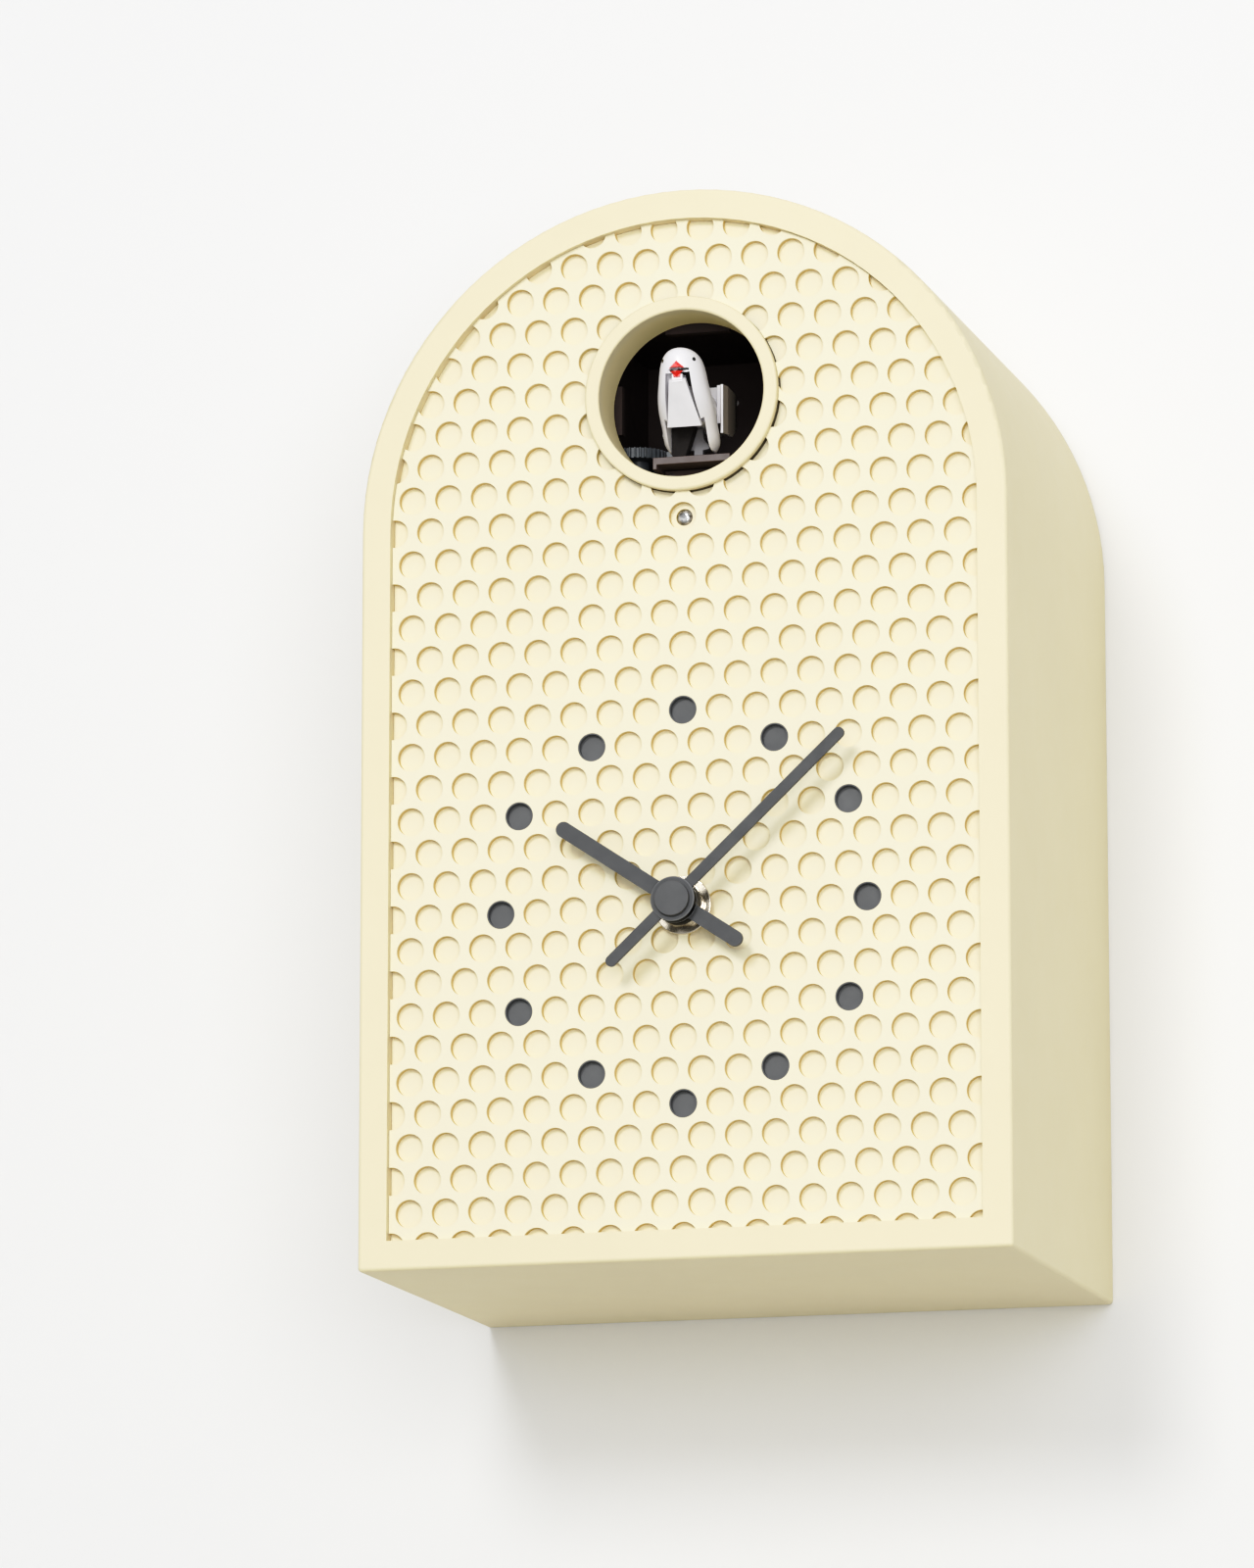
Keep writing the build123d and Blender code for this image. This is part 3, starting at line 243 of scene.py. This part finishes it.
def metal(name, colour, roughness=0.25, lines=None, streak=0.08):
    """Metal whose fine lines run along the axis that is stretched least."""
    m = Nodes(name)
    lines = lines or (1.0, 1.0, 1.0)
    fine = m.noise(0.3, 3.0, 0.6, lines)
    m.set(Base_Color=m.mixed(m.between(m.noise(6.0), 0.0, 1.0), shade(colour, 0.93), shade(colour, 1.05)))
    m.set(Metallic=1.0, Roughness=m.between(fine, max(0.03, roughness - streak), roughness + streak))
    m.set(Normal=m.bump(fine, 0.08, 0.01))
    return m.material


def hand_paint(name, colour, dark):
    """Matt grey blades with a painted highlight on the hub's chamfer; the hub is a dark moulding whose walls
    show.
    """
    m = Nodes(name)
    hub = m.maths("LESS_THAN", m.radius(DIAL_Z), 7.4 * MM)
    wall = m.maths("LESS_THAN", m.maths("ABSOLUTE", m.facing("Y")), 0.45)
    bare = m.maths("MULTIPLY", hub, wall)
    grain = m.mixed(m.between(m.noise(14.0), 0.0, 1.0), shade(colour, 0.94), shade(colour, 1.05))
    # Painted highlight: the slanted faces at the hub's chamfer are lighter
    slanted = m.maths("LESS_THAN", m.maths("ABSOLUTE", m.facing("Y")), 0.92)
    chamfer_glint = m.maths("MULTIPLY", slanted, m.maths("COMPARE", m.radius(DIAL_Z), 6.6 * MM, 0.3 * MM))
    tone = m.mixed(chamfer_glint, grain, shade(colour, 2.2))
    m.set(Base_Color=m.mixed(bare, tone, dark))
    m.set(Specular_IOR_Level=m.maths("SUBTRACT", 0.32, m.maths("MULTIPLY", bare, 0.27)))
    m.set(Roughness=m.between(m.noise(4.0), 0.48, 0.60), Normal=m.bump(m.noise(0.25, 2.0), 0.08, 0.02))
    return m.material


def collar_lacquer(name):
    """The panel's lacquer, with painted shade on the tube: a warmer tone on its inner wall, and near black on
    its outside below the face of the panel, where the gap beside the cut pockets lies in shadow.
    """
    m = Nodes(name)
    tone = m.mixed(m.between(m.noise(38.0, 2.0), 0.0, 1.0), shade(CREAM, 0.985), shade(CREAM, 1.01))
    # Painted shade: the tube's inner wall takes a warmer tone from just in front of the panel's face inwards
    inside = m.ramp(m.axis("Y"), PANEL_Y - 1.0 * MM, PANEL_Y + 4.0 * MM)
    wall = m.maths("LESS_THAN", m.maths("ABSOLUTE", m.facing("Y")), 0.6)
    tone = m.mixed(m.maths("MULTIPLY", inside, wall), tone, (0.880, 0.765, 0.455))
    # Painted shade: near black on the tube's outside below the panel's face
    outside = m.maths("GREATER_THAN", m.radius(WINDOW_Z), 29.5 * MM)
    below = m.maths("GREATER_THAN", m.axis("Y"), PANEL_Y + 0.1 * MM)
    m.set(Base_Color=m.mixed(m.maths("MULTIPLY", outside, below), tone, (0.030, 0.022, 0.006)))
    m.set(Roughness=m.between(m.noise(9.0, 3.0), 0.55, 0.62), Specular_IOR_Level=0.4)
    m.set(Normal=m.bump(m.noise(1.3, 2.0), 0.12, 0.012))
    return m.material


def bird_white(name, colour):
    """Smooth white moulding, with painted shade in the right of the belly plate's slot and in a crease beside
    the mouth.
    """
    m = Nodes(name)
    # Painted shade: the right of the slot beside the belly plate is near black
    over = m.maths("SUBTRACT", m.axis("Y"), PANEL_Y + BELLY_FOOT[0] * MM)
    up = m.maths("SUBTRACT", m.axis("Z"), WINDOW_Z + BELLY_FOOT[1] * MM)
    slope = math.hypot(*BELLY_RISE)
    lean, climb = BELLY_RISE[0] / slope, BELLY_RISE[1] / slope
    sunk = m.maths("SUBTRACT", m.maths("MULTIPLY", over, climb), m.maths("MULTIPLY", up, lean))
    along = m.maths("ADD", m.maths("MULTIPLY", over, lean), m.maths("MULTIPLY", up, climb))
    taper = m.maths("MULTIPLY", m.maths("ADD", along, 8.0 * MM), SLOT_TAPER)
    inside = m.maths("LESS_THAN", m.maths("ADD", m.maths("ABSOLUTE", m.axis("X")), taper), SLOT_FOOT * MM)
    shallow = m.maths("LESS_THAN", sunk, SLOT_DEPTH * MM)
    under_mouth = m.maths("LESS_THAN", along, SLOT_LENGTH * MM)
    right = m.maths("GREATER_THAN", m.axis("X"), -1.0 * MM)
    slot = m.maths("MULTIPLY", m.maths("MULTIPLY", inside, shallow), m.maths("MULTIPLY", under_mouth, right))
    # Painted shade: a short dark crease line beside the mouth
    level = m.maths("COMPARE", m.axis("Z"), WINDOW_Z + MOUTH * MM, CREASE_LINE * MM)
    crease = m.maths("COMPARE", m.axis("X"), CREASE[0] * MM, CREASE[1] * MM)
    slot = m.maths("MAXIMUM", slot, m.maths("MULTIPLY", level, crease))
    plain = m.mixed(m.between(m.noise(14.0), 0.0, 1.0), shade(colour, 0.97), shade(colour, 1.02))
    m.set(Base_Color=m.mixed(slot, plain, (0.010, 0.009, 0.009)), Coat_Weight=0.15, Coat_Roughness=0.2)
    m.set(Roughness=m.between(m.noise(4.0), 0.34, 0.44), Normal=m.bump(m.noise(0.6, 2.0), 0.04, 0.02))
    return m.material


def wing_white(name, colour, shaded):
    """White moulding with painted shade: its flank is brown-grey and darkens towards the rear."""
    m = Nodes(name)
    # Painted shade: faces turned sideways, and the whole wing towards its rear, take the shaded colour, which
    # darkens with depth
    flank = m.ramp(m.maths("ABSOLUTE", m.facing("X")), 0.45, 0.62)
    rear = m.ramp(m.axis("Y"), PANEL_Y + WING_REAR[0] * MM, PANEL_Y + WING_REAR[1] * MM)
    flank = m.maths("MAXIMUM", flank, rear)
    dusk = m.ramp(m.axis("Y"), PANEL_Y + WING_DUSK[0] * MM, PANEL_Y + WING_DUSK[1] * MM)
    dim = m.mixed(dusk, shaded, shade(shaded, 0.12))
    m.set(Base_Color=m.mixed(flank, colour, dim), Specular_IOR_Level=0.3)
    m.set(Roughness=m.between(m.noise(4.0), 0.40, 0.50), Normal=m.bump(m.noise(0.6, 2.0), 0.04, 0.02))
    return m.material


def beak_red(name, colour, dark):
    """Red moulding with a line of painted shade where the two halves of the beak close."""
    m = Nodes(name)
    # Painted shade: a dark band along the beak's closing line, drooping towards its tip
    ahead = m.maths("SUBTRACT", m.axis("Y"), PANEL_Y + MOUTH_DEPTH * MM)
    droop = m.maths("MULTIPLY", ahead, MOUTH_DROOP)
    level = m.maths("SUBTRACT", m.maths("SUBTRACT", m.axis("Z"), droop), WINDOW_Z + MOUTH * MM)
    line = m.maths("LESS_THAN", m.maths("ABSOLUTE", level), MOUTH_LINE * MM)
    plain = m.mixed(m.between(m.noise(8.0), 0.0, 1.0), shade(colour, 0.95), shade(colour, 1.05))
    m.set(Base_Color=m.mixed(line, plain, dark), Coat_Weight=0.2, Coat_Roughness=0.2)
    m.set(Roughness=m.between(m.noise(4.0), 0.30, 0.40), Normal=m.bump(m.noise(0.6, 2.0), 0.04, 0.02))
    return m.material


def board(name, colour, dark):
    """Fibreboard: matted fibres, a few dark specks."""
    m = Nodes(name)
    fibres = m.noise(1.6, 6.0, 0.65, (0.35, 1.0, 1.0))
    specks = m.between(m.noise(0.9, 2.0), 0.0, 1.0)
    base = m.mixed(m.between(fibres, 0.0, 1.0), dark, colour)
    m.set(Base_Color=m.mixed(specks, shade(dark, 0.9), base))
    m.set(Roughness=m.between(fibres, 0.72, 0.88))
    m.set(Normal=m.bump(fibres, 0.35, 0.06))
    return m.material


def circuit(name):
    """Solder mask with faint tracks."""
    m = Nodes(name)
    bands = m.add("ShaderNodeTexWave", bands_direction="X", wave_profile="SAW")
    bands.inputs["Scale"].default_value = 120.0
    bands.inputs["Distortion"].default_value = 6.0
    bands.inputs["Detail"].default_value = 1.0
    m.link(m.place, bands.inputs["Vector"])
    m.set(Base_Color=m.mixed(bands.outputs["Fac"], (0.012, 0.10, 0.035), (0.025, 0.17, 0.06)))
    m.set(Roughness=m.between(m.noise(3.0), 0.22, 0.34), Coat_Weight=0.4, Coat_Roughness=0.15)
    return m.material


def winding(name):
    """Enamelled copper wire wound in layers along X."""
    m = Nodes(name)
    turns = m.add("ShaderNodeTexWave", bands_direction="X", wave_profile="SIN")
    turns.inputs["Scale"].default_value = 1100.0
    m.link(m.place, turns.inputs["Vector"])
    m.set(Base_Color=m.mixed(turns.outputs["Fac"], (0.20, 0.05, 0.015), (0.62, 0.24, 0.08)))
    m.set(Metallic=0.8, Roughness=m.between(m.noise(1.0), 0.25, 0.4))
    m.set(Normal=m.bump(turns.outputs["Fac"], 0.6, 0.05))
    return m.material


def cell_can(name, band, body):
    """Wrapped battery cell with a coloured band at one end."""
    m = Nodes(name)
    wave = m.add("ShaderNodeTexWave", bands_direction="X", wave_profile="SIN")
    wave.inputs["Scale"].default_value = 10.0
    m.link(m.place, wave.inputs["Vector"])
    step = m.add("ShaderNodeMapRange")
    step.inputs["From Min"].default_value = 0.78
    step.inputs["From Max"].default_value = 0.80
    m.link(wave.outputs["Fac"], step.inputs["Value"])
    m.set(Base_Color=m.mixed(step.outputs["Result"], body, band))
    m.set(Roughness=m.between(m.noise(5.0), 0.22, 0.34), Metallic=0.35, Coat_Weight=0.5)
    return m.material


def clear_resin(name):
    """Glossy dome whose bright and dark patches are painted, standing in for what the clear dome refracts and
    reflects.
    """
    m = Nodes(name)
    # Painted refraction and reflection: noise patches of near black and near white
    painted_refraction = m.between(m.noise(1.5, 2.0, 0.6), 0.0, 1.0)
    m.set(Base_Color=m.mixed(painted_refraction, (0.015, 0.016, 0.018), (0.80, 0.82, 0.85)))
    m.set(Roughness=m.between(m.noise(2.0), 0.04, 0.10), Metallic=0.4)
    m.set(Coat_Weight=1.0, Coat_Roughness=0.03, Transmission_Weight=0.15)
    return m.material


CREAM = (0.800, 0.717, 0.480)
PANEL_CREAM = (0.825, 0.765, 0.555)
# Painted shade for the walls of the panel's pockets
POCKET_WALL_SHADE = (0.640, 0.480, 0.180)

FINISHES = {
    "lacquer": lacquer("cream_lacquer", CREAM),
    "grey_paint": moulded("grey_paint", (0.105, 0.108, 0.112), 0.60, 0.25, 0.10),
    "raw_board": board("fibreboard", (0.46, 0.33, 0.20), (0.30, 0.20, 0.11)),
    "zinc_steel": metal("zinc_steel", (0.62, 0.62, 0.60), 0.32),
    "clear_resin": clear_resin("clear_resin"),
    "black_plastic": moulded("black_plastic", (0.014, 0.013, 0.013), 0.55),
    "brass": metal("turned_brass", (0.76, 0.56, 0.26), 0.24, (1.0, 0.2, 1.0)),
    "nickel": metal("bright_nickel", (0.76, 0.69, 0.57), 0.20, (1.0, 0.2, 1.0), 0.04),
    "copper_coil": winding("copper_winding"),
    "silicon_iron": metal("silicon_iron", (0.40, 0.40, 0.42), 0.45),
    "circuit_board": circuit("circuit_board"),
    "cell_wrap": cell_can("cell_wrap", (0.55, 0.30, 0.06), (0.03, 0.03, 0.035)),
    "white_acetal": moulded("white_acetal", (0.80, 0.79, 0.74), 0.38, 0.5, 0.08),
    "motor_steel": metal("motor_steel", (0.50, 0.50, 0.50), 0.36, (1.0, 1.0, 0.1)),
    "grey_acetal": moulded("grey_acetal", (0.115, 0.130, 0.150), 0.38, 0.5, 0.08),
    "brown_plastic": moulded("brown_plastic", (0.104, 0.078, 0.074), 0.45),
    "light_grey_plastic": moulded("light_grey_plastic", (0.50, 0.49, 0.54), 0.40, 0.5, 0.08),
    "white_plastic": moulded("white_plastic", (0.80, 0.79, 0.83), 0.36, 0.6, 0.04, 0.15),
    "red_plastic": moulded("red_plastic", (0.78, 0.012, 0.006), 0.30, 0.6, 0.04, 0.3),
    "black_paint": moulded("black_paint", (0.006, 0.006, 0.006), 0.15, 0.6, 0.02, 0.6),
    "red_button": moulded("red_button", (0.50, 0.03, 0.02), 0.32, 0.5, 0.08, 0.2),
    "speaker_frame": moulded("speaker_frame", (0.02, 0.02, 0.02), 0.5, 0.4, 0.15),
}

# Nodes whose finish is more particular than their material slot's
PARTICULAR = {
    "front_panel": lacquer("cream_lacquer_pitted", PANEL_CREAM, recess_shade=POCKET_WALL_SHADE),
    "window_collar": collar_lacquer("cream_lacquer_collar"),
    "hour_hand": hand_paint("hand_paint", (0.072, 0.074, 0.078), (0.004, 0.004, 0.004)),
    "hand_cap": moulded("cap_paint", (0.070, 0.072, 0.076), 0.58, 0.25, 0.10),
    "bird_body": bird_white("bird_white", (0.80, 0.79, 0.83)),
    "bird_upper_beak": beak_red("beak_red", (0.86, 0.012, 0.006), (0.030, 0.008, 0.020)),
    "bird_pedestal": moulded("pedestal_plastic", (0.022, 0.019, 0.018), 0.6, gloss=0.12),
    # Painted shade: the stand's plastic is a darker copy of the light grey plastic, for the dim inside of the
    # window
    "bird_stand": moulded("stand_plastic_shaded", (0.190, 0.185, 0.195), 0.45, 0.5, 0.08, gloss=0.3),
    "drive_gear": moulded("gear_plastic", (0.070, 0.078, 0.088), 0.45, 0.5, 0.08, gloss=0.3),
    "guide_rails": metal("blackened_steel", (0.060, 0.052, 0.050), 0.40),
    "cuckoo_chassis": moulded("chassis_plastic", (0.058, 0.043, 0.041), 0.6, gloss=0.10),
    "wing_right": wing_white("wing_white", (0.80, 0.79, 0.83), (0.26, 0.235, 0.215)),
}
PARTICULAR["wing_left"] = PARTICULAR["wing_right"]
PARTICULAR["minute_hand"] = PARTICULAR["hour_hand"]
PARTICULAR["bird_lower_beak"] = PARTICULAR["bird_upper_beak"]


def finish_nodes():
    for row in frame["record"]["subparts"]:
        mesh = NODES[row["node"]].data
        mesh.materials.clear()
        mesh.materials.append(PARTICULAR.get(row["node"], FINISHES[row["material_slot"]]))


finish_nodes()


# ---------------------------------------------------------------- softened edges


def soften(node, width_mm, segments=2, angle=32):
    """Rounds a CAD node's sharp edges with modifiers, which leave its own mesh alone."""
    obj = NODES[node]
    weld = obj.modifiers.new("weld", "WELD")
    weld.merge_threshold = 2e-6
    bevel = obj.modifiers.new("edges", "BEVEL")
    bevel.width = width_mm * MM
    bevel.segments = segments
    bevel.limit_method = "ANGLE"
    bevel.angle_limit = math.radians(angle)
    bevel.harden_normals = True


SOFT_EDGES = {
    "front_panel": 0.22, "hour_markers": 0.08, "hour_hand": 0.3, "minute_hand": 0.25,
    "carriage_platform": 0.25, "bird_stand": 0.2, "bird_pedestal": 0.25, "drive_gear": 0.08,
    "bird_belly": 0.12, "dial_nut": 0.2, "cuckoo_chassis": 0.3,
}
for node, width in SOFT_EDGES.items():
    soften(node, width)


# ---------------------------------------------------------------- pieces that only the eye needs


def lathe(name, profile, height, material, steps=96):
    """A closed profile of (radius, depth) points in millimetres turned about an axis along Y."""
    points = []
    faces = []
    count = len(profile)
    for step in range(steps):
        angle = 2 * math.pi * step / steps
        for radius, depth in profile:
            reach = radius * MM
            points.append((reach * math.cos(angle), PANEL_Y + depth * MM, height + reach * math.sin(angle)))
        for index in range(count):
            here, there = step * count, (step + 1) % steps * count
            after = (index + 1) % count
            faces.append((here + index, here + after, there + after, there + index))
    mesh = bpy.data.meshes.new(name)
    mesh.from_pydata(points, [], faces)
    mesh.materials.append(material)
    mesh.shade_smooth()
    mesh.set_sharp_from_angle(angle=math.radians(35))
    obj = bpy.data.objects.new(name, mesh)
    bpy.context.scene.collection.objects.link(obj)
    return obj


def add_hub_skirt():
    """The dark socket of the hour hand, which reaches back round the bushing towards the dial nut."""
    black = moulded("hub_black", (0.004, 0.004, 0.004), 0.7, 0.25, 0.05)
    profile = [(4.6, -6.45), (6.7, -6.45), (6.7, -4.1), (6.4, -3.8), (4.9, -3.8), (4.6, -4.1)]
    skirt = lathe("hour_hub_skirt", profile, DIAL_Z, black)
    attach(skirt, "hour_hand_set")


add_hub_skirt()


# ---------------------------------------------------------------- camera, lights and stage

# The photograph's pinhole, in the CAD's frame: where it stands and how it is turned
CAMERA_AT = Vector((0.628815, -2.399150, -0.610253))
RIGHT = Vector((0.962629, 0.270823, -0.000620))
UP = Vector((0.052210, -0.183333, 0.981663))
BACK = Vector((0.265743, -0.945010, -0.190621))
LENS_MM = 185.2
SHIFT = (-0.01813, 0.02167)


def add_camera():
    data = bpy.data.cameras.new("camera")
    data.lens = LENS_MM
    data.sensor_width = 36.0
    data.shift_x, data.shift_y = SHIFT
    data.clip_end = 100.0
    camera = bpy.data.objects.new("camera", data)
    bpy.context.scene.collection.objects.link(camera)
    turn = Matrix((RIGHT, UP, BACK)).transposed().to_4x4()
    camera.matrix_world = Matrix.Translation(CAMERA_AT) @ turn
    bpy.context.scene.camera = camera


def add_light(name, at, towards, size, watts, colour=(1.0, 1.0, 1.0)):
    data = bpy.data.lights.new(name, "AREA")
    data.shape = "DISK"
    data.size = size
    data.energy = watts
    data.color = colour
    light = bpy.data.objects.new(name, data)
    bpy.context.scene.collection.objects.link(light)
    light.location = at
    light.rotation_euler = (Vector(towards) - Vector(at)).to_track_quat("-Z", "Y").to_euler()


def stage_sheet(name, corners, material, faces=None):
    """A flat sheet that only shows its front, so that views from behind look through it."""
    mesh = bpy.data.meshes.new(name)
    mesh.from_pydata(corners, [], faces or [tuple(range(len(corners)))])
    mesh.materials.append(material)
    obj = bpy.data.objects.new(name, mesh)
    bpy.context.scene.collection.objects.link(obj)


def stage_paint(name, colour):
    m = Nodes(name)
    m.set(Base_Color=colour, Roughness=0.9, Specular_IOR_Level=0.1)
    clear = m.add("ShaderNodeBsdfTransparent")
    side = m.add("ShaderNodeNewGeometry").outputs["Backfacing"]
    mix = m.add("ShaderNodeMixShader")
    m.link(side, mix.inputs["Fac"])
    m.link(m.shader.outputs["BSDF"], mix.inputs[1])
    m.link(clear.outputs["BSDF"], mix.inputs[2])
    m.link(mix.outputs["Shader"], m.tree.nodes["Material Output"].inputs["Surface"])
    return m.material


def wall_rings(wide, low, high, steps=40):
    """Corners and faces of a wall that is open behind the clock, so that light reaches its back."""
    inset = 2.5 * MM
    half, foot = cad_box[1][0] - inset, cad_box[0][2] + inset
    spring = cad_box[1][2] - cad_box[1][0]
    arch = [math.pi * step / steps for step in range(steps + 1)]
    inner = [(half * math.cos(a), spring + half * math.sin(a)) for a in arch] + [(-half, foot), (half, foot)]
    outer = []
    for a in arch:
        reach = min(wide / max(abs(math.cos(a)), 1e-6), (high - spring) / max(math.sin(a), 1e-6))
        outer.append((reach * math.cos(a), spring + reach * math.sin(a)))
    outer += [(-wide, low), (wide, low)]
    count = len(inner)
    corners = [(x, 0.0, z) for x, z in inner + outer]
    faces = [(count + i, count + (i + 1) % count, (i + 1) % count, i) for i in range(count)]
    return corners, faces


def add_stage():
    white = stage_paint("wall_paint", (0.868, 0.870, 0.880))
    pale = stage_paint("floor_paint", (0.40, 0.39, 0.34))
    wide, high, low = 4.0, 3.0, -1.1
    corners, faces = wall_rings(wide, low, high)
    stage_sheet("wall", corners, white, faces)
    stage_sheet("floor", [(-wide, -6, low), (wide, -6, low), (wide, 0, low), (-wide, 0, low)], pale)


def add_sky():
    """Even studio light, a little darker from below."""
    world = bpy.data.worlds.new("studio")
    bpy.context.scene.world = world
    world.use_nodes = True
    nodes, links = world.node_tree.nodes, world.node_tree.links
    place = nodes.new("ShaderNodeTexCoord").outputs["Generated"]
    height = nodes.new("ShaderNodeSeparateXYZ")
    links.new(place, height.inputs["Vector"])
    ramp = nodes.new("ShaderNodeMapRange")
    ramp.inputs["From Min"].default_value = -0.8
    ramp.inputs["From Max"].default_value = 0.6
    ramp.inputs["To Min"].default_value = 0.30
    ramp.inputs["To Max"].default_value = 0.72
    links.new(height.outputs["Z"], ramp.inputs["Value"])
    background = nodes["Background"]
    background.inputs["Color"].default_value = (0.992, 0.997, 1.0, 1.0)
    links.new(ramp.outputs["Result"], background.inputs["Strength"])


# Scene light to picture: a slight toe, then a long shoulder that keeps the pale lacquer from burning out
TONE_WHITE = 1.4
TONE_CURVE = [(0.0, 0.0), (0.04, 0.03), (0.12, 0.14), (0.30, 0.385), (0.50, 0.655), (0.757, 0.88),
              (0.829, 0.93), (1.0, 1.0)]


def set_tone():
    view = bpy.context.scene.view_settings
    view.view_transform = "Standard"
    view.look = "None"
    view.use_curve_mapping = True
    mapping = view.curve_mapping
    mapping.white_level = (TONE_WHITE, TONE_WHITE, TONE_WHITE)
    points = mapping.curves[3].points
    for place, level in TONE_CURVE[1:-1]:
        points.new(place, level)
    mapping.update()


add_camera()
add_stage()
add_sky()
MIDDLE = (0.0, -0.1, -0.12)
add_light("key", (-0.26, -2.6, 0.74), MIDDLE, 0.66, 29.5)
add_light("fill", (0.78, -2.55, -0.10), MIDDLE, 1.5, 31.0)
set_tone()

scene = bpy.context.scene
scene.cycles.max_bounces = 10
scene.cycles.diffuse_bounces = 6
